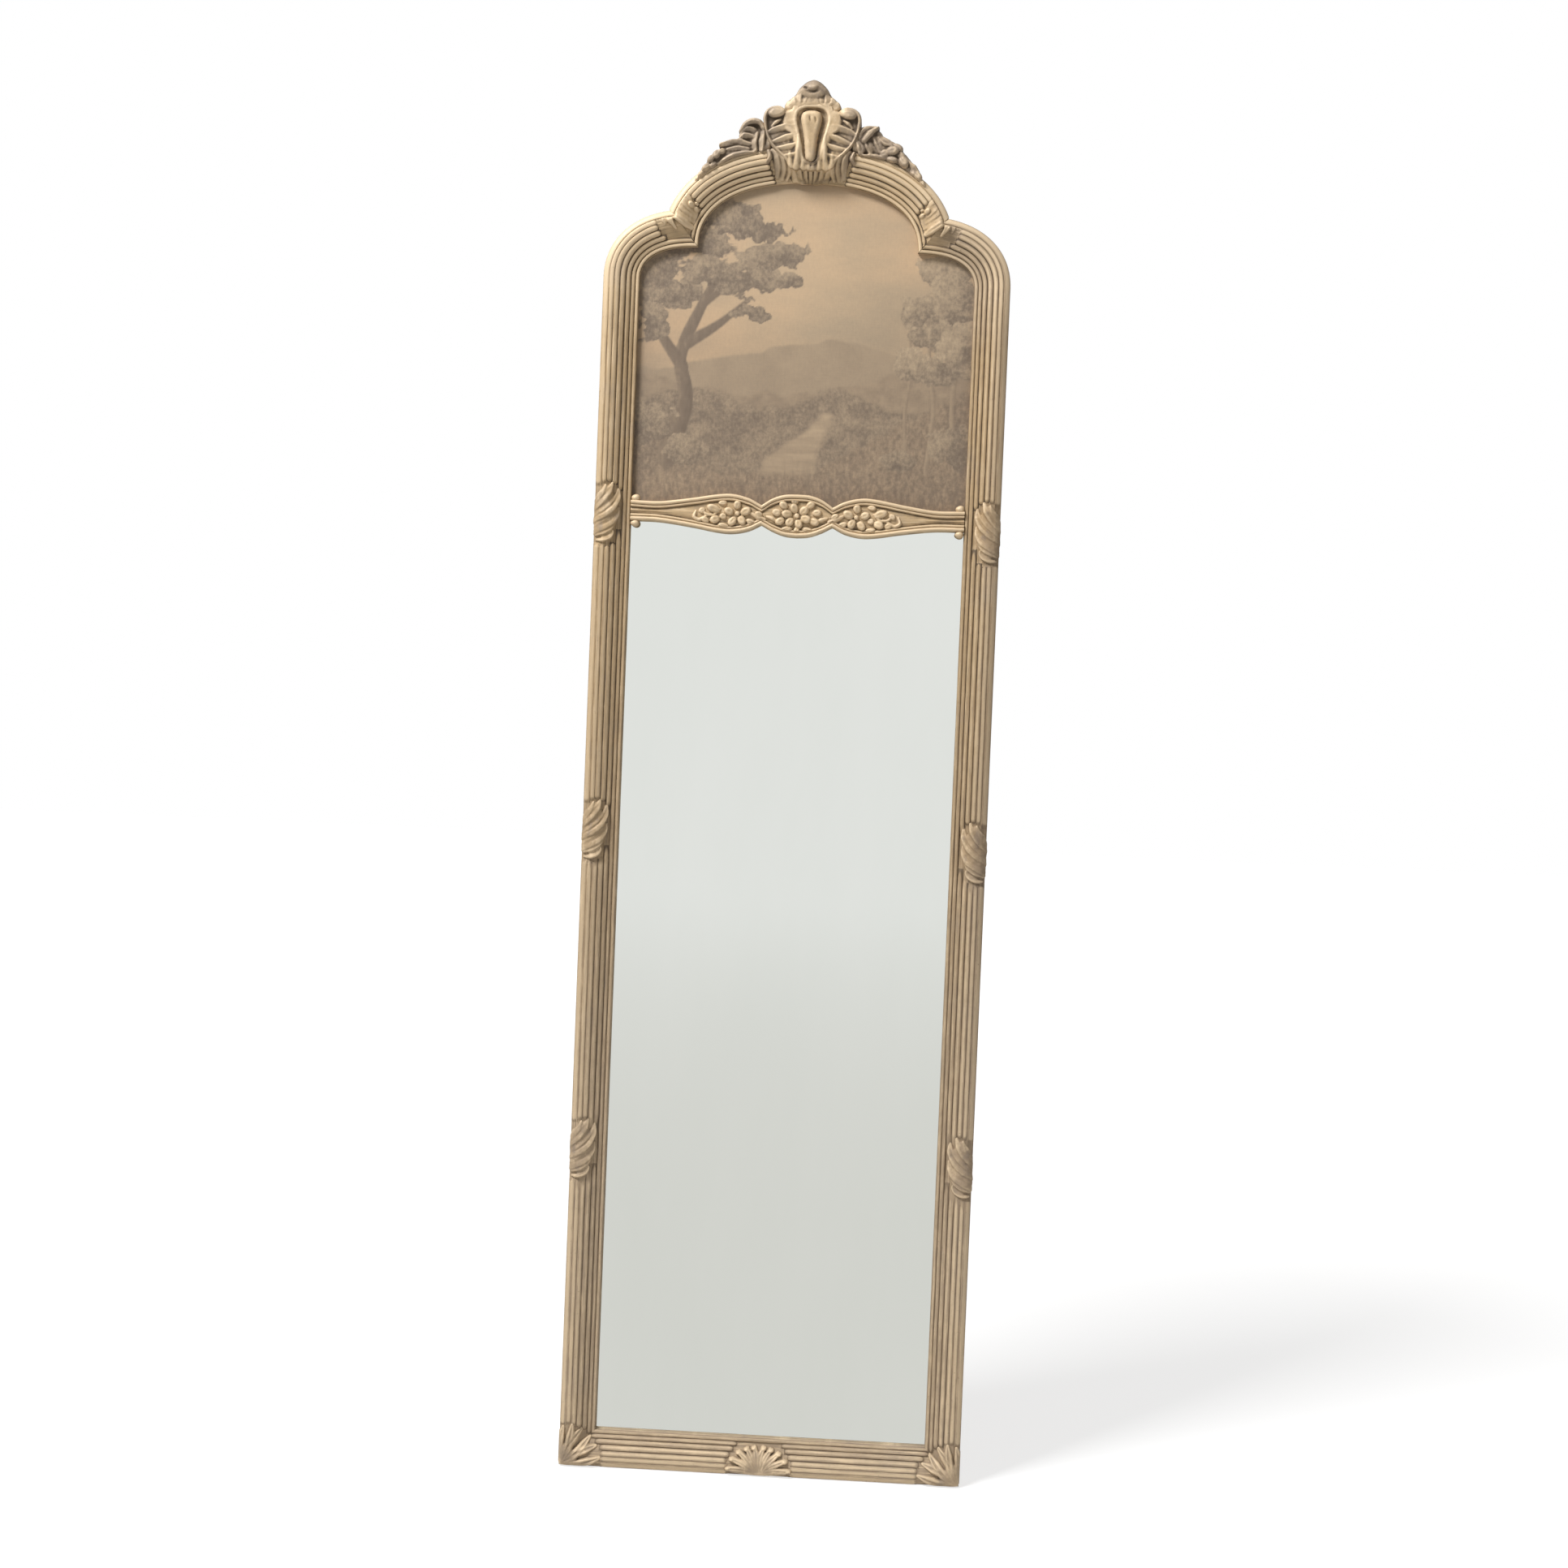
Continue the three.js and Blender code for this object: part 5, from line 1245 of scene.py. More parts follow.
# Signed distance to an outline given by its right half.
def halfOutline(x, z, half):
    outline = half + [[-px, pz] for px, pz in half[::-1] if px > 0.01]
    return outlineDistance(x, z, smoothLine(outline, 3)[:-1])


def makeCartouche():
    carving = Carving((-66, 66), (1608, 1696), 0.5, 0.0)
    x, z = carving.x, carving.z
    inside = halfOutline(x, z, crest["body"])
    hollow = halfOutline(x, z, crest["recess"])
    carving.outline = inside.copy()
    # a smooth band round the boss, and a lower field outside it that the lapped lobes cross
    band = crest["band"][0] + crest["band"][1] * smoothStep(1655, 1664, z)
    dome = 8.2 - 3.2 * smoothStep(band, band + 6, hollow)
    joined = (z > 1680) & (np.abs(x) < 25)
    edge = np.where(joined, 9.0, np.clip(-inside, 0, 9))
    carving.height = np.where((inside < 0) | joined, np.minimum(dome, 1.0 + 3.2 * np.sqrt(edge)), 0.0)
    for points, widths, depths in crest["cuts"]:
        carving.cut(points, widths, depths)
    carving.lay(crest["laps"], "fold", foot=3.4)
    carving.lay(crest["tongues"], foot=3.4)
    for points, depth in crest["lines"]:
        carving.add(points, [0.9, 1.4, 0.9], -depth)
    carving.over(*crest["rim"], foot=3.8)
    carving.lobe(*crest["bulb"], tilt=0.04, dip=0.0, foot=3.4)
    carving.mirror()
    # a rounded lip round the recess, in which the boss lies
    top, away, wide = crest["lip"]
    lip = np.maximum(carving.height, top * np.exp(-((hollow - away) / wide) ** 2))
    carving.height = np.where((hollow > 0) & (hollow < 6) & (inside < -1), lip, carving.height)
    carving.height = np.where(hollow < 0, 2.4 + 4.6 * smoothStep(-3.4, 0, hollow), carving.height)
    # the lower edge runs down on to the moulding
    fall = smoothStep(1640, 1617, z) * (hollow > 0)
    carving.height = carving.height * (1 - fall) + (2.9 - 1.5 * smoothStep(1620, 1612, z)) * fall
    for points, widths, rise in crest["folds"]:
        for turn in (1, -1):
            carving.add(np.array(points) * (turn, 1), widths, rise)
    carving.finish(1.5, seed=21, uneven=0.18, lift=-0.05, contrast=1.5)
    # painted shade in the recess round the boss: its relief is pulled down to 0.25
    carving.relief = carving.relief + (0.25 - carving.relief) * smoothStep(1.2, -0.4, hollow)
    solidCarving("crest_cartouche", carving, standing, lambda x, z: flatBack(x, z, crest["back"]))


# The boss lies a little to the left of the middle: a long drop with two small dents near its top.
boss = {
    "outline": [[0, 1623.5], [4.0, 1624.8], [6.6, 1630], [7.7, 1640], [8.6, 1650], [10.3, 1660],
                [12.6, 1670], [13.3, 1678], [11.2, 1683.8], [5.6, 1686.4], [0, 1687]],
    "dents": [[[-3.4, 1678.5], [-2, 1672]], [[3.5, 1678], [4.8, 1671]]],
    "aside": 0.9, "foot": 1.4, "rise": 8.6,
}


def makeBoss():
    carving = Carving((-16, 16), (1620, 1690), 0.5, 1.0)
    inside = halfOutline(carving.x + boss["aside"], carving.z, boss["outline"])
    carving.outline = inside
    swell = np.sqrt(np.clip(1 - np.clip(1 + inside / 6.5, 0, 1) ** 2.2, 0, 1))
    top = boss["rise"] * (0.86 + 0.14 * smoothStep(1625, 1680, carving.z))
    carving.height = np.where(inside < 0, boss["foot"] + top * swell, 1.0)
    for points in boss["dents"]:
        carving.add(points, [1.3, 1.5], -1.3)
    carving.finish(1.3, seed=22, uneven=0.15)
    carving.relief = np.clip(carving.relief * 0.6 + 0.08, 0, 1)
    solidCarving("crest_boss", carving, standing, lambda x, z: flatBack(x, z, -0.8))


topLeaf = {
    "outline": [[0, 1723.6], [4.5, 1722.6], [9, 1720], [13.5, 1716.3], [17.5, 1712], [20.3, 1707.4],
                [23, 1703.6], [26.5, 1700.6], [31, 1697.2], [34, 1693.0], [34.6, 1688.5], [30, 1684.6],
                [25.5, 1685.6], [22.5, 1688], [18.5, 1687.6], [15.5, 1690.2], [8.5, 1692.4], [0, 1693.2]],
    "leaves": [
        ([[0, 1707.5], [0, 1700.5], [0, 1694.5]], [5.0, 7.4, 10.4], [7.2, 8.4, 8.8], "plump"),
        ([[12.5, 1690.5], [12, 1697], [8.8, 1703]], [3.2, 4.2, 2.6], [8.0, 9.4, 8.2], "fold"),
        ([[17, 1689.5], [18, 1696.5], [16.8, 1704]], [3.2, 4.2, 2.6], [8.0, 9.6, 8.2], "fold"),
        ([[21, 1688.5], [24.4, 1694.5], [24.6, 1700.5]], [3.2, 4.2, 2.6], [8.0, 9.4, 7.8], "fold"),
        ([[25, 1687.5], [29.4, 1691.4], [31, 1695.4]], [2.8, 3.8, 2.2], [6.6, 7.8, 6.2], "fold"),
    ],
    "dome": ((0, 1711.6), (19.5, 13.4), 0, 10.2),
    "folds": [
        ([[5, 1720], [12.5, 1715], [18.5, 1708]], [2.4, 3.4, 2.2], [11.8, 11.0, 8.8], "fold"),
        ([[7, 1712.5], [11.5, 1709.5], [15, 1705.5]], [2.6, 3.0, 2.0], [11.0, 10.0, 8.2], "fold"),
        ([[-4, 1721], [-11, 1717.5], [-15.5, 1712.5]], [2.2, 2.8, 1.8], [11.8, 11.4, 9.4], "foldLeft"),
        ([[-9, 1710.5], [-14, 1709.5], [-18.6, 1706.5]], [2.4, 3.4, 2.2], [9.6, 9.8, 8.2], "foldLeft"),
    ],
    "under": ([[-9, 1709.2], [-1, 1707.4], [7, 1709.4]], [1.4, 2.2, 1.4], -1.1),
    "gaps": [([[-14, 1714.2], [-11, 1713.6], [-8.5, 1712]], [1.2, 1.8, 1.2], [6.6, 5.2, 6.4])],
    "bud": ((-0.7, 1713.4), (7.6, 5.4), 10, 12.8),
}


def makeTopLeaf():
    carving = Carving((-38, 38), (1680, 1728), 0.45, 0.0)
    aside, z = np.abs(carving.x), carving.z
    inside = halfOutline(carving.x, z, topLeaf["outline"])
    carving.outline = inside.copy()
    slope = np.minimum(6.8, 1.0 + 3 * np.sqrt(np.clip(-inside, 0, 9)))
    carving.height = np.where((z < 1694.5) & (aside < 20), 8.2, np.where(inside < 0, slope, 0.0))
    carving.lay(topLeaf["leaves"], foot=4.6)
    carving.lobe(*topLeaf["dome"], tilt=0, dip=0, foot=3.0)
    carving.mirror()
    carving.lay(topLeaf["folds"], foot=4.6)
    carving.add(*topLeaf["under"])
    for points, widths, depths in topLeaf["gaps"]:
        carving.cut(points, widths, depths)
    carving.lobe(*topLeaf["bud"], tilt=0, dip=0.0, foot=3.0)
    carving.trim(inside)
    # its edge is rounded off but where it stands on the cartouche
    free = np.where((z < 1697) & (aside < 24), 99.0, -inside)
    carving.roundOff(free, 3.0, 3.2, np.where(free > 90, 99.0, 16))
    carving.finish(1.8, seed=23, uneven=0.26, lift=-0.06, contrast=1.5)
    # painted highlight on the bud: its relief is raised there, and above z 1701 the relief is lowered, so the
    # leaf is darker towards the top
    bud = np.exp(-((carving.x + 1) / 6) ** 2 - ((z - 1714.5) / 4) ** 2)
    carving.relief = np.clip(carving.relief * (1 - 0.5 * smoothStep(1701, 1712, z)) + 0.45 * bud, 0, 1)
    solidCarving("crest_top_leaf", carving, standing, lambda x, z: flatBack(x, z, 14.0))


# What lies on the arch under the cartouche: soft folds in the middle, three lapped strips to each
# side, a curl where the reeds begin, and a small bracket at the sight edge.
collar = {
    "bed": [
        ([[0, 1624], [0, 1612], [0, 1604]], [30, 24, 17], [4.4, 3.0, 1.6]),
        ([[36, 1634], [34, 1620], [35, 1610]], [13, 11, 7], [3.4, 2.8, 1.2]),
    ],
    "strips": [
        ([[1.6, 1625], [1.4, 1617.5], [0.8, 1610], [0.2, 1602]], [4.0, 3.8, 3.2, 2.0],
         [4.8, 8.0, 6.6, 3.4]),
        ([[8.4, 1625], [8.2, 1617.5], [7.2, 1610], [5.0, 1602]], [4.4, 4.4, 3.8, 2.2],
         [4.8, 8.2, 6.8, 3.4]),
        ([[16, 1625], [15.6, 1617.5], [14.2, 1610], [11, 1603]], [4.4, 4.6, 4.0, 2.2],
         [4.8, 8.0, 6.6, 3.2]),
        ([[23.6, 1626], [23, 1618], [21.2, 1611], [17.5, 1604.5]], [4.0, 4.2, 3.7, 2.0],
         [4.8, 7.6, 6.0, 3.0]),
        ([[34.5, 1630], [29, 1624], [27.6, 1614.5], [29.2, 1606]], [3.4, 4.2, 4.0, 2.4],
         [5.8, 6.6, 5.6, 2.8]),
        ([[41, 1634], [35.6, 1626.5], [34, 1616.5], [35.4, 1607]], [3.4, 4.2, 4.0, 2.4],
         [5.8, 6.8, 5.6, 2.6]),
        ([[47.5, 1637], [42.6, 1628.5], [40.8, 1618.5], [41.8, 1608.5]], [3.2, 4.0, 3.8, 2.2],
         [5.8, 6.8, 5.4, 2.4]),
    ],
    "curl": ([[52.5, 1637], [50.2, 1629.5], [53.4, 1624]], [2.4, 3.2, 2.2], [6.4, 8.4, 6.2]),
    "foot": ([[-16, 1600.4], [-5, 1598.6], [6, 1598.8], [15, 1600.6]], [1.0, 1.6, 1.5, 1.0],
             [2.6, 4.0, 3.6, 2.6]),
}


def makeCollar():
    carving = Carving((-62, 62), (1590, 1645), 0.5, -0.9)
    carving.lay(collar["bed"], "plump")
    carving.lay(collar["strips"], "foldLeft")
    carving.over(*collar["curl"])
    carving.mirror()
    carving.over(*collar["foot"])
    aside, z = np.abs(carving.x), carving.z
    carving.trim(-halfOutline(carving.x, z, crest["body"]) - 3.0)
    # nothing hangs below the sight line but the bracket
    power = corners["archPower"]
    sight = corners["cusp"][1] + corners["rise"] * (1 - (aside / corners["cusp"][0]) ** power) ** (1 / power)
    carving.trim(sight + 0.4 - 2.0 * smoothStep(19, 9, aside) - z)
    carving.finish(1.6, seed=25, uneven=0.2, contrast=1.4)
    # painted shade: the relief falls towards the sight edge, so the collar's foot under the cartouche is
    # darker
    carving.relief = carving.relief * (0.62 + 0.3 * smoothStep(1600, 1622, z)) + 0.03
    solidCarving("crest_collar", carving, onSeat, underSeat)


# Foliage down the arch, each side by another hand: a low bed on the outer reeds, curled leaves
# near the cartouche, then petals that get smaller. Strokes: line, half widths, tops, shape.
sprays = {
    "left": {
        "bed": [
            ([[58, 1650], [72, 1647], [88, 1639.5], [103, 1633.5], [115, 1625.5], [127, 1614],
              [139, 1600.5]], [13, 13, 8.5, 8, 6.6, 5, 2.2], [3.4, 3.4, 3.4, 3.4, 3.2, 2.8, 0.8]),
            ([[62, 1656], [72, 1658], [78, 1655]], [12, 12, 10], [4.2, 4.6, 4.0]),
        ],
        "strokes": [
            ([[61, 1637], [61.5, 1648], [60, 1660]], [3.0, 4.4, 3.4], [6.0, 8.2, 8.0], "fold"),
            ([[69, 1637.5], [70.5, 1646.5], [68, 1656]], [3.0, 4.2, 3.2], [6.0, 8.2, 7.8], "fold"),
            ([[70, 1634.8], [84, 1633.2], [96, 1630], [106, 1624.5], [113, 1619]],
             [1.8, 2.6, 3.0, 2.8, 1.6], [4.0, 5.6, 6.0, 5.4, 4.0], "roll"),
            ([[78, 1637.5], [90, 1638], [102, 1636.2]], [2.6, 3.4, 2.4], [5.8, 7.4, 5.8], "fold"),
            ([[76, 1643.5], [86, 1645.4], [97, 1645.2], [110, 1642]], [3.0, 4.2, 4.4, 3.4],
             [6.4, 8.8, 8.8, 7.2], "fold"),
            ([[72, 1652], [81, 1653], [90, 1647.5]], [3.2, 4.2, 2.6], [7.0, 8.6, 6.4], "fold"),
            ([[70, 1660], [78, 1661], [87, 1654]], [3.2, 3.8, 2.4], [8.2, 9.4, 7.0], "fold"),
            ([[59, 1663], [65.5, 1670.4], [74, 1671], [81.5, 1667], [87, 1659.5]],
             [3.4, 4.4, 4.4, 4.2, 2.6], [8.8, 10.6, 11, 10.2, 8.0], "roll"),
        ],
        "lobes": [((115.5, 1630.4), (6.6, 5.0), -60, 8.6), ((122, 1625), (6.6, 4.2), -52, 8.0),
                  ((109.5, 1634), (5.4, 4.2), -20, 7.2), ((119.5, 1618), (5.2, 3.4), -42, 6.2),
                  ((128, 1614.8), (6.8, 4.0), -42, 7.0), ((134.2, 1607.2), (5.0, 3.0), -50, 5.2),
                  ((138.8, 1601.4), (3.8, 2.2), -52, 3.4)],
        "veins": [[[61, 1664], [66, 1666.6], [73, 1666.8]], [[66, 1660], [70, 1664]],
                  [[88, 1643.5], [99, 1643]], [[74, 1647.6], [84, 1648.6]]],
    },
    "right": {
        "bed": [
            ([[58, 1649], [72, 1649], [88, 1642.5], [103, 1636], [115, 1627], [127, 1615], [139, 1601]],
             [12, 13, 10, 9.5, 7.4, 5, 2.2], [4.4, 4.4, 4.4, 4.4, 3.8, 3.0, 0.8]),
            ([[60, 1657], [70, 1660], [78, 1657]], [11, 11, 9], [4.8, 5.2, 4.4]),
        ],
        "strokes": [
            ([[61, 1657], [67, 1664], [77, 1667.5]], [5.0, 6.0, 3.0], [6.4, 7.6, 6.4], "fold"),
            ([[57, 1651], [61, 1643.5], [60.5, 1636.5]], [4.0, 5.6, 3.2], [6.4, 8.0, 6.2], "foldLeft"),
            ([[66, 1654], [71, 1646], [73, 1637.5]], [4.2, 5.8, 3.2], [6.6, 8.2, 6.2], "foldLeft"),
            ([[76, 1659], [82, 1649.5], [85, 1640]], [4.2, 5.8, 3.2], [6.6, 8.2, 6.2], "foldLeft"),
            ([[84, 1656], [92, 1650.5], [100, 1648.5]], [3.8, 5.2, 3.0], [6.4, 8.0, 6.6], "foldLeft"),
            ([[64, 1634.5], [78, 1634], [90, 1631.2]], [1.8, 2.6, 1.8], [4.2, 5.8, 4.6], "roll"),
            ([[64.5, 1651.5], [71, 1659.8], [81, 1668]], [3.6, 4.6, 1.6], [9.2, 11.0, 9.6], "plump"),
            ([[119, 1626.5], [125.5, 1621], [131, 1616]], [3.2, 4.4, 2.4], [5.4, 6.6, 4.8], "fold"),
        ],
        "lobes": [((104.5, 1644.6), (8.0, 5.4), -20, 6.8), ((90, 1637), (7.0, 5.6), 20, 6.4),
                  ((99, 1640), (9.0, 6.4), 8, 9.4), ((99, 1630.2), (8.0, 4.0), -12, 7.2),
                  ((113, 1627.4), (8.6, 5.8), -60, 8.8), ((109, 1635.5), (6.4, 4.8), -30, 6.4),
                  ((131, 1611.8), (7.0, 4.6), -48, 5.8), ((125.0, 1615), (5.6, 3.6), -45, 5.0),
                  ((137, 1603.6), (5.4, 2.8), -52, 3.8)],
        "veins": [[[67, 1650], [71.5, 1642]], [[78, 1655], [83, 1645]], [[59, 1647], [62, 1640]],
                  [[87, 1652], [96, 1648.5]]],
    },
}


def makeSpray(side):
    plan = sprays[side]
    carving = Carving((50, 156), (1592, 1682), 0.5, -3.0)
    carving.lay(plan["bed"], "plump", foot=-3.0)
    carving.lay(plan["strokes"], foot=1.0)
    vein = {"reach": 0.1, "widths": [0.9, 0.9], "depth": 0.5}
    for centre, size, turn, top in plan["lobes"]:
        carving.petal(centre, size, turn, top, 0.22, 0.0, vein, foot=1.0)
    for points in plan["veins"]:
        carving.add(points, [1.2, 1.7, 1.2], -1.3)
    carving.trim(-halfOutline(carving.x, carving.z, crest["body"]) - 1.0)
    carving.finish(1.4, seed=27 if side == "left" else 28, uneven=0.28, lift=-0.04, contrast=1.5)
    solidCarving(f"crest_{side}_spray", carving, standing, lambda x, z: flatBack(x, z, 9.0))


makeCartouche()
makeBoss()
makeTopLeaf()
makeCollar()
makeSpray("left")
makeSpray("right")
print("crest carved")

picture = {"bottom": 1198.5, "reach": 6.5, "front": 19.3, "thickness": 3.0, "columns": 300, "rowStep": 1.35}


# Half width of the opening in the rebate at a height: the sight line grown by the reach.
def openingHalf(z):
    t = np.linspace(0, 1, 400)
    grown = []
    for path in (shoulderPath, archPath):
        x, height, nx, nz = path(t)
        grown.append((height + nz * picture["reach"], x + nx * picture["reach"]))
    lower, upper = (np.interp(z, heights, halves) for heights, halves in grown)
    return np.where(z < grown[0][0][-1], np.maximum(lower, 0), upper)


# Trunks: line, half widths, tone. Crowns: place, half size and seed. Places are shares of the panel.
trees = {
    "birches": {
        "trunks": [
            ([[0.93, 0.14], [0.90, 0.34], [0.93, 0.52], [0.88, 0.72]], [0.016, 0.013, 0.011, 0.007], 0.44),
            ([[0.76, 0.13], [0.79, 0.32], [0.75, 0.50], [0.79, 0.66]], [0.014, 0.012, 0.010, 0.006], 0.44),
            ([[0.64, 0.14], [0.62, 0.30], [0.65, 0.44], [0.63, 0.55]], [0.010, 0.009, 0.008, 0.005], 0.42),
        ],
        "crowns": [(0.86, 0.62, 0.20, 0.08, 50), (0.74, 0.55, 0.15, 0.06, 53),
                   (0.97, 0.50, 0.14, 0.08, 56), (0.82, 0.74, 0.16, 0.06, 59),
                   (0.64, 0.45, 0.10, 0.045, 62), (0.92, 0.68, 0.16, 0.06, 113),
                   (0.66, 0.62, 0.12, 0.04, 116), (0.80, 0.44, 0.13, 0.05, 119)],
        "dark": 0.30, "light": 0.56, "density": -0.05,
    },
    "oak": {
        "trunks": [
            ([[-0.80, 0.16], [-0.70, 0.32], [-0.74, 0.46], [-0.62, 0.62], [-0.50, 0.74]],
             [0.055, 0.04, 0.034, 0.022, 0.010], 0.24),
            ([[-0.72, 0.42], [-0.88, 0.54], [-0.95, 0.66]], [0.026, 0.018, 0.008], 0.24),
            ([[-0.70, 0.50], [-0.52, 0.56], [-0.34, 0.64]], [0.020, 0.013, 0.006], 0.24),
            ([[-0.62, 0.62], [-0.42, 0.70], [-0.22, 0.74]], [0.013, 0.010, 0.005], 0.24),
        ],
        "crowns": [(-0.92, 0.72, 0.20, 0.09, 65), (-0.72, 0.80, 0.24, 0.08, 68),
                   (-0.40, 0.70, 0.20, 0.05, 71), (-0.56, 0.90, 0.26, 0.07, 74),
                   (-0.20, 0.78, 0.20, 0.045, 77), (-0.95, 0.57, 0.14, 0.06, 80),
                   (-0.32, 0.60, 0.13, 0.03, 83), (-0.34, 0.86, 0.22, 0.05, 101),
                   (-0.80, 0.66, 0.16, 0.05, 104), (-0.60, 0.72, 0.16, 0.045, 107),
                   (-0.10, 0.70, 0.10, 0.025, 110)],
        "dark": 0.24, "light": 0.46, "density": 0.0,
    },
    "bushes": {
        "trunks": [],
        "crowns": [(-0.93, 0.24, 0.16, 0.07, 86), (0.96, 0.20, 0.15, 0.07, 89),
                   (-0.70, 0.17, 0.12, 0.045, 92), (0.60, 0.155, 0.10, 0.035, 95)],
        "dark": 0.26, "light": 0.46, "density": 0.0,
    },
}


# A generic landscape: a pale sky, far hills, a winding river, an old oak on the left, a birch grove
# on the right and tall grass in front. Tone 0 is dark and 1 light.
def landscape(x, z):
    u, v = x / 206.0, (z - 1205.0) / 398.0
    # the sky is palest high in the middle and sinks into haze over the hills
    clouds = softNoise(x + 40, z * 2.2, 95, 31, 4)
    glow = 0.10 * np.exp(-((u + 0.1) / 0.7) ** 2 - ((v - 0.75) / 0.30) ** 2) - 0.08 * smoothStep(0.75, 0.4, v)
    painted = {"tone": 0.68 + 0.13 * clouds + glow, "warmth": 0.60 + 0.30 * clouds}
    painted["leafy"] = np.zeros(x.shape)

    def layer(mask, tone, warmth, leafy=0.0):
        for key, value in (("tone", tone), ("warmth", warmth), ("leafy", leafy)):
            painted[key] = painted[key] * (1 - mask) + value * mask

    farHill = 0.47 + 0.045 * np.sin(u * 3.1 + 1.2) + 0.02 * softNoise(x, z * 0 + 5, 34, 32, 3)
    layer(smoothStep(0.006, -0.006, v - farHill) * 0.9, 0.50 + 0.06 * softNoise(x, z, 20, 33, 3), 0.45)
    nearHill = 0.40 + 0.05 * np.sin(u * 2.2 - 1.0) + 0.018 * softNoise(x, z * 0, 22, 34, 3)
    layer(smoothStep(0.008, -0.008, v - nearHill) * 0.95, 0.44 + 0.10 * softNoise(x, z, 9, 35, 3), 0.5)
    bush = softNoise(x, z, 13, 36, 4)
    hedge = 0.335 + 0.03 * np.sin(u * 7) + 0.03 * bush
    layer(smoothStep(0.01, -0.01, v - hedge), 0.36 + 0.16 * bush, 0.45, 0.8)
    # river: a bright band that widens towards the front
    centre = 0.16 - 1.5 * np.sin((0.31 - v) * 11.0) * np.clip(0.32 - v, 0, 1) ** 1.1
    wide = 0.035 + 1.5 * np.clip(0.30 - v, 0, 1) ** 1.35 + 0.03 * softNoise(x * 0, z, 11, 47, 2)
    water = smoothStep(0.03, -0.03, np.abs(u - centre) - wide) * smoothStep(0.305, 0.285, v)
    layer(water * 0.95, 0.60 - 0.35 * (0.3 - v) + 0.14 * softNoise(x * 0.35, z * 3.2, 16, 37, 3), 0.5)
    # banks in front
    leftBank = smoothStep(0.012, -0.012, v - (0.235 - 0.2625 * (u + 0.98) + 0.02 * bush))
    leftBank = leftBank * smoothStep(-0.15, -0.55, u)
    layer(leftBank, 0.34 + 0.14 * softNoise(x * 2.2, z, 8, 40, 4), 0.5, 0.7)
    rightBank = smoothStep(0.012, -0.012, v - (0.10 + 0.30 * np.clip(u - 0.05, 0, 1) + 0.015 * bush))
    layer(rightBank, 0.38 + 0.16 * softNoise(x * 2.0, z, 8, 41, 4), 0.55, 0.7)
    # tall grass
    blades = softNoise(x * 5.0 + 18 * np.sin(z / 14), z * 0.55, 12, 43, 2)
    layer(smoothStep(0.16, 0.0, v - 0.05 * blades) * smoothStep(0.1, 0.5, blades) * 0.6, 0.27, 0.45)
    bark = softNoise(x * 3, z, 10, 44, 3)

    # a trunk is a row of short rounded stretches, lighter on its left
    def trunk(points, widths, tone):
        line = smoothLine(points, 10)
        half = shared(np.linspace(0, 1, len(line)), widths)[:-1]
        k, du, dv = nearLine(u, v, line)
        away = np.hypot(du, dv) - half
        best = np.argmin(away, -1)[..., None]
        lit, away = (np.take_along_axis(value, best, -1)[..., 0] for value in (du / half, away))
        layer(smoothStep(0.006, -0.004, away), tone + 0.10 * np.clip(-lit, -1, 1) + 0.09 * bark, 0.5)

    # a crown is an ellipse broken up into clumps and leaves, lighter above and on its left
    def crown(cu, cv, ru, rv, seed, plan):
        across, up = (u - cu) / ru, (v - cv) / rv
        clump = softNoise(x, z, 26, seed, 2)
        leaf = softNoise(x, z, 9, seed + 1, 3)
        mask = smoothStep(-0.05, 0.12, 1 - across ** 2 - up ** 2 + clump + 0.9 * leaf + plan["density"])
        shade = smoothStep(-1.1, 1.1, up - 0.6 * across + 1.5 * clump + 0.5 * leaf)
        layer(mask * 0.96, plan["dark"] + (plan["light"] - plan["dark"]) * shade + 0.14 * leaf, 0.42, 1.0)

    for plan in trees.values():
        for points, widths, tone in plan["trunks"]:
            trunk(points, widths, tone)
        for spot in plan["crowns"]:
            crown(*spot, plan)
    # old varnish: a darker edge all round and slow stains
    edge = smoothStep(0.0, 0.16, 1 - np.abs(u)) * smoothStep(0.0, 0.10, v)
    tone = painted["tone"] + 0.04 + 0.05 * softNoise(x, z, 120, 98, 2)
    return np.clip(tone * (0.86 + 0.14 * edge), 0, 1), np.clip(painted["warmth"], 0, 1), painted["leafy"]


def makePicture():
    top = corners["cusp"][1] + corners["rise"] + picture["reach"] - 0.05
    z = np.arange(picture["bottom"], top, picture["rowStep"])
    z = np.append(z, top)
    share = np.linspace(-1, 1, picture["columns"])
    half = np.maximum(openingHalf(z), 2.0)
    x = half[:, None] * share[None, :]
    zz = np.repeat(z[:, None], len(share), 1)
    tone, warmth, leafy = landscape(x, zz)
    frontPoints = np.stack([x, np.full_like(x, picture["front"]), zz], -1).reshape(-1, 3)
    rim = np.concatenate([np.arange(len(share)), np.arange(1, len(z)) * len(share) + len(share) - 1,
                          ((len(z) - 1) * len(share) + np.arange(len(share) - 2, -1, -1)),
                          np.arange(len(z) - 2, 0, -1) * len(share)])
    backPoints = frontPoints[rim] + [0, picture["thickness"], 0]
    index = np.arange(x.size).reshape(x.shape)
    quads = np.stack([index[:-1, :-1], index[:-1, 1:], index[1:, 1:], index[1:, :-1]], -1).reshape(-1, 4)
    behind = np.arange(len(rim)) + x.size
    walls = np.stack([np.roll(rim, -1), rim, behind, np.roll(behind, -1)], -1)
    values = {key: np.append(value.ravel(), np.full(len(rim), edge)) for key, value, edge in
              (("tone", tone, 0.5), ("warmth", warmth, 0.5), ("leafy", leafy, 0.0))}
    makePiece("picture_canvas", np.vstack([frontPoints, backPoints]), np.vstack([quads, walls]),
              looks["painted_canvas"], ["picture_panel"], values, [behind[::-1].tolist()])


makePicture()
print("picture painted")


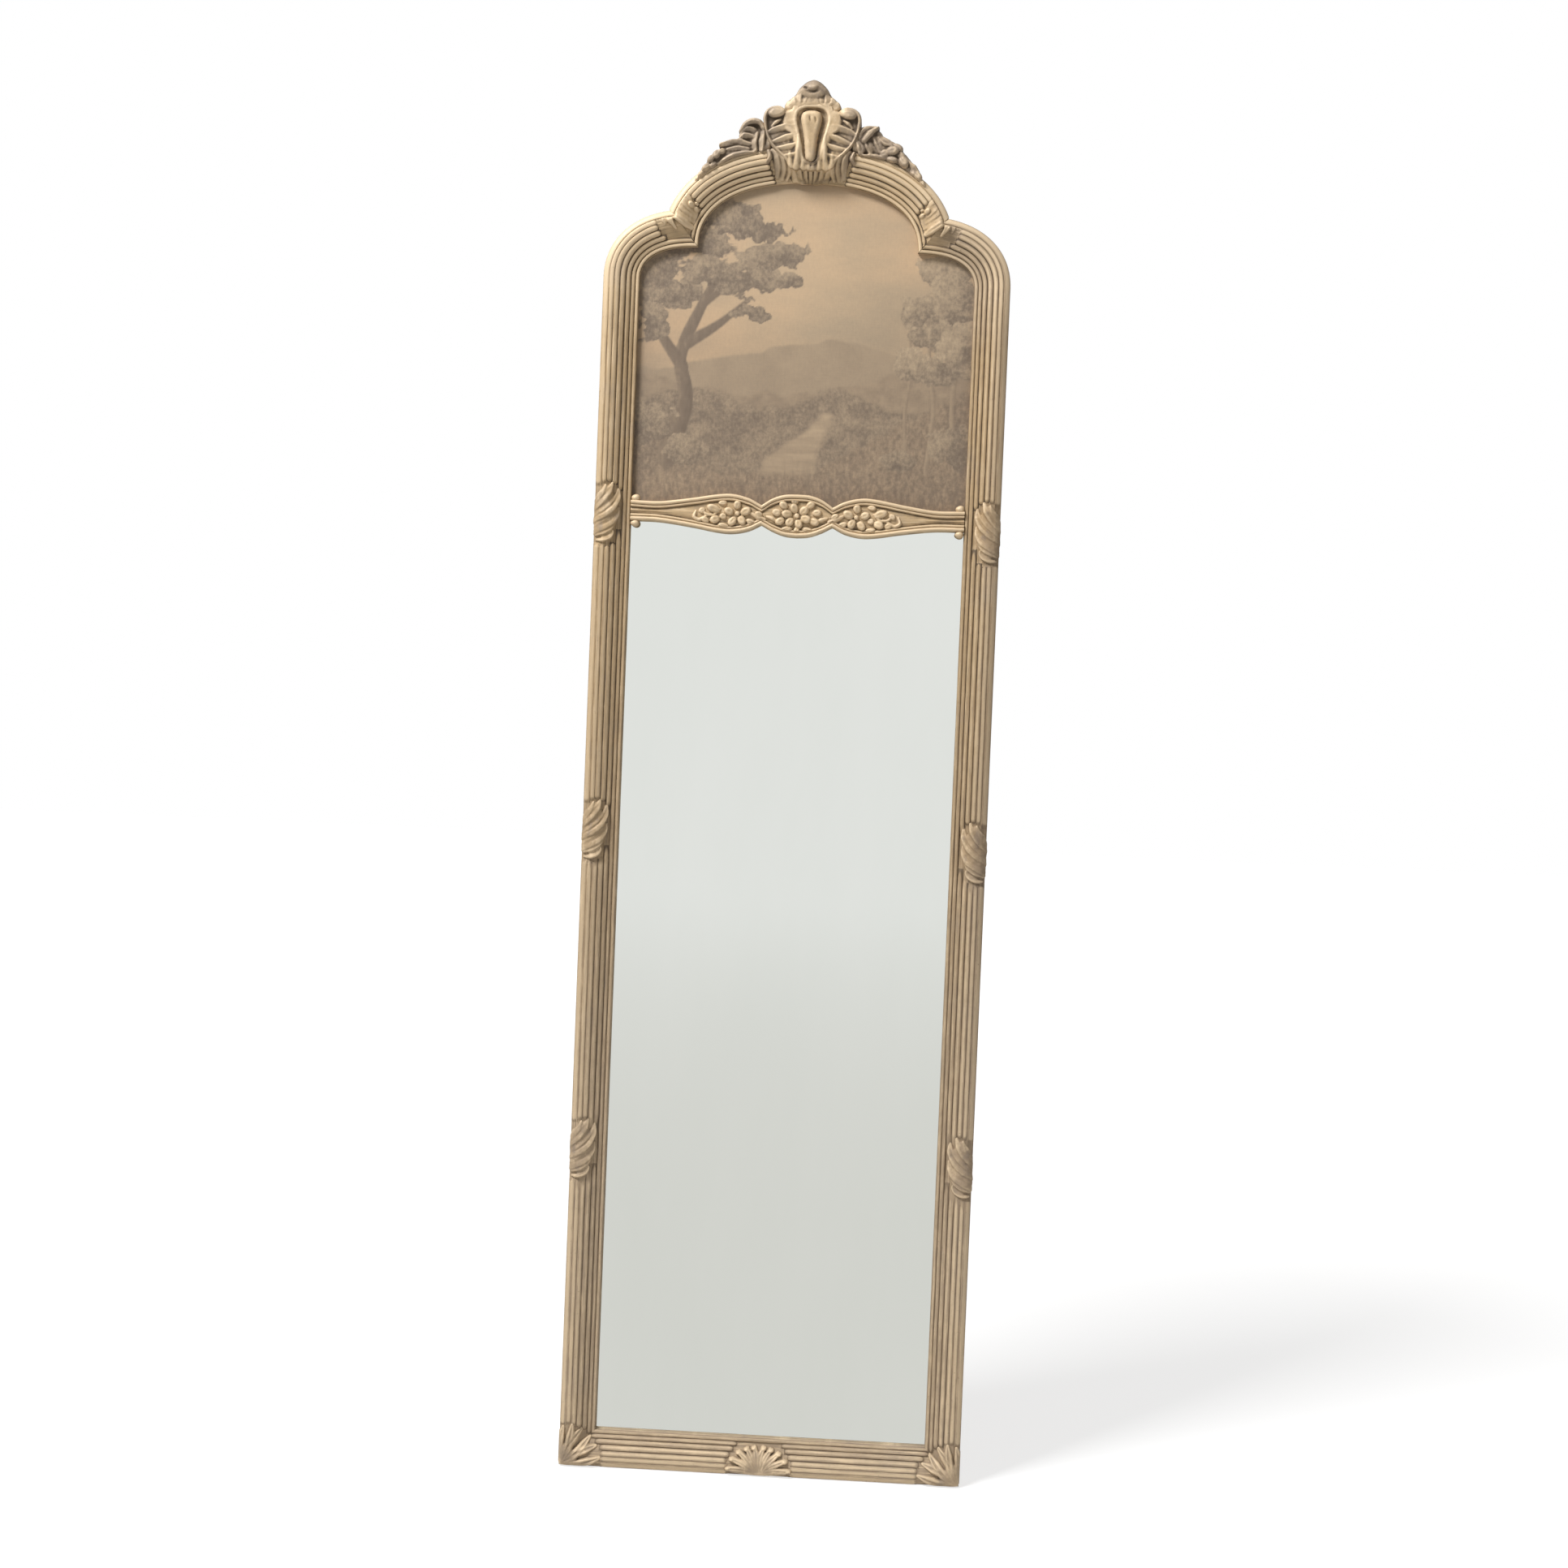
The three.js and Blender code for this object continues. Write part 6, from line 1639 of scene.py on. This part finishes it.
stage = {"floorSize": 14.0, "worldLight": 0.28, "keyPower": 205.0, "keyPlace": (-1.9, -1.75, 4.0),
         "keySize": 1.2, "fillPower": 5.0, "fillPlace": (2.6, -2.2, 1.4), "fillSize": 1.6}
shot = {"place": (113.8, -2599.4, 936.8), "yaw": 2.550, "pitch": -1.619, "roll": 2.328, "focal": 2600.0,
        "frame": 1932.0}


def mixShader(tree, factor, a, b):
    made = tree.nodes.new("ShaderNodeMixShader")
    for key, socket in enumerate((factor, a.outputs[0], b.outputs[0])):
        tree.links.new(socket, made.inputs[key])
    return made


def makeFloor():
    size, low = stage["floorSize"], -0.0005
    mesh = bpy.data.meshes.new("studio_floor")
    mesh.from_pydata([(-size, -size, low), (size, -size, low), (size, size, low), (-size, size, low)], [],
                     [(0, 1, 2, 3)])
    floor = bpy.data.objects.new("studio_floor", mesh)
    bpy.context.scene.collection.objects.link(floor)
    material = bpy.data.materials.new("studio floor")
    material.use_nodes = True
    tree = material.node_tree
    tree.nodes.clear()
    path = tree.nodes.new("ShaderNodeLightPath").outputs
    place = tree.nodes.new("ShaderNodeTexCoord").outputs["Object"]
    away = node(tree, "VectorMath", {"operation": "LENGTH"}, i0=place).outputs["Value"]
    plain = node(tree, "BsdfDiffuse", None, Color=(0.78, 0.775, 0.76, 1))
    # in the mirror it fades into the horizon with distance, so no edge shows there
    fade = mixColor(tree, remap(tree, away, 0.6, 9.0), (0.76, 0.75, 0.72, 1), (0.88, 0.875, 0.86, 1))
    glossy = mixShader(tree, path["Is Glossy Ray"], plain, node(tree, "Emission", None, Color=fade))
    # the camera sees it white everywhere but in the shadow; it shines more where the lamp reaches less
    shadow = node(tree, "BsdfDiffuse", None, Color=(0.5, 0.5, 0.5, 1))
    white = node(tree, "Emission", None, Color=(1, 1, 1, 1), Strength=remap(tree, away, 0.7, 4.5, 0.68, 1.0))
    both = tree.nodes.new("ShaderNodeAddShader")
    tree.links.new(white.outputs[0], both.inputs[0])
    tree.links.new(shadow.outputs[0], both.inputs[1])
    output = tree.nodes.new("ShaderNodeOutputMaterial")
    tree.links.new(mixShader(tree, path["Is Camera Ray"], glossy, both).outputs[0], output.inputs["Surface"])
    mesh.materials.append(material)


# The world is white to the camera, a soft pale gradient in the mirror, and a plain even light.
def makeWorld():
    world = bpy.data.worlds.new("studio")
    bpy.context.scene.world = world
    world.use_nodes = True
    tree = world.node_tree
    tree.nodes.clear()
    path = tree.nodes.new("ShaderNodeLightPath").outputs
    height = axis(tree, tree.nodes.new("ShaderNodeTexCoord").outputs["Generated"], "Z")
    sky = mixColor(tree, remap(tree, height, -0.02, 0.45), (0.88, 0.875, 0.86, 1), (0.96, 0.97, 0.97, 1))
    even = node(tree, "Background", None, Color=(1, 0.985, 0.96, 1), Strength=stage["worldLight"])
    mirrored = node(tree, "Background", None, Color=sky, Strength=1.0)
    seen = node(tree, "Background", None, Color=(1, 1, 1, 1), Strength=1.0)
    sharp = most(tree, path["Is Glossy Ray"], path["Is Transmission Ray"])
    camera = mixShader(tree, path["Is Camera Ray"], mixShader(tree, sharp, even, mirrored), seen)
    tree.links.new(camera.outputs[0], tree.nodes.new("ShaderNodeOutputWorld").inputs["Surface"])


def makeLamp(name, place, size, power, target=(0, 0, 1.0)):
    lamp = bpy.data.lights.new(name, "AREA")
    lamp.shape, lamp.size, lamp.energy = "SQUARE", size, power
    holder = bpy.data.objects.new(name, lamp)
    holder.location = place
    holder.rotation_euler = (Vector(target) - Vector(place)).to_track_quat("-Z", "Y").to_euler()
    bpy.context.scene.collection.objects.link(holder)


def makeCamera():
    yaw, pitch, roll = (math.radians(shot[key]) for key in ("yaw", "pitch", "roll"))
    ahead = Vector((-math.sin(yaw) * math.cos(pitch), math.cos(yaw) * math.cos(pitch), math.sin(pitch)))
    level = Vector((math.cos(yaw), math.sin(yaw), 0))
    upright = level.cross(ahead)
    across = level * math.cos(roll) + upright * math.sin(roll)
    up = -level * math.sin(roll) + upright * math.cos(roll)
    data = bpy.data.cameras.new("camera")
    data.sensor_width = 36.0
    data.lens = shot["focal"] / shot["frame"] * data.sensor_width
    data.clip_end = 60
    camera = bpy.data.objects.new("camera", data)
    place = (Vector(shot["place"]) - Vector((0, sketch["depthOfOrigin"], 0))) * sketch["scale"]
    turn = Matrix((across, up, -ahead)).transposed().to_4x4()
    camera.matrix_world = Matrix.Translation(place) @ turn
    bpy.context.scene.collection.objects.link(camera)
    bpy.context.scene.camera = camera


makeFloor()
makeWorld()
makeLamp("key lamp", stage["keyPlace"], stage["keySize"], stage["keyPower"])
makeLamp("fill lamp", stage["fillPlace"], stage["fillSize"], stage["fillPower"])
makeCamera()
bpy.context.scene.view_settings.view_transform = "Standard"
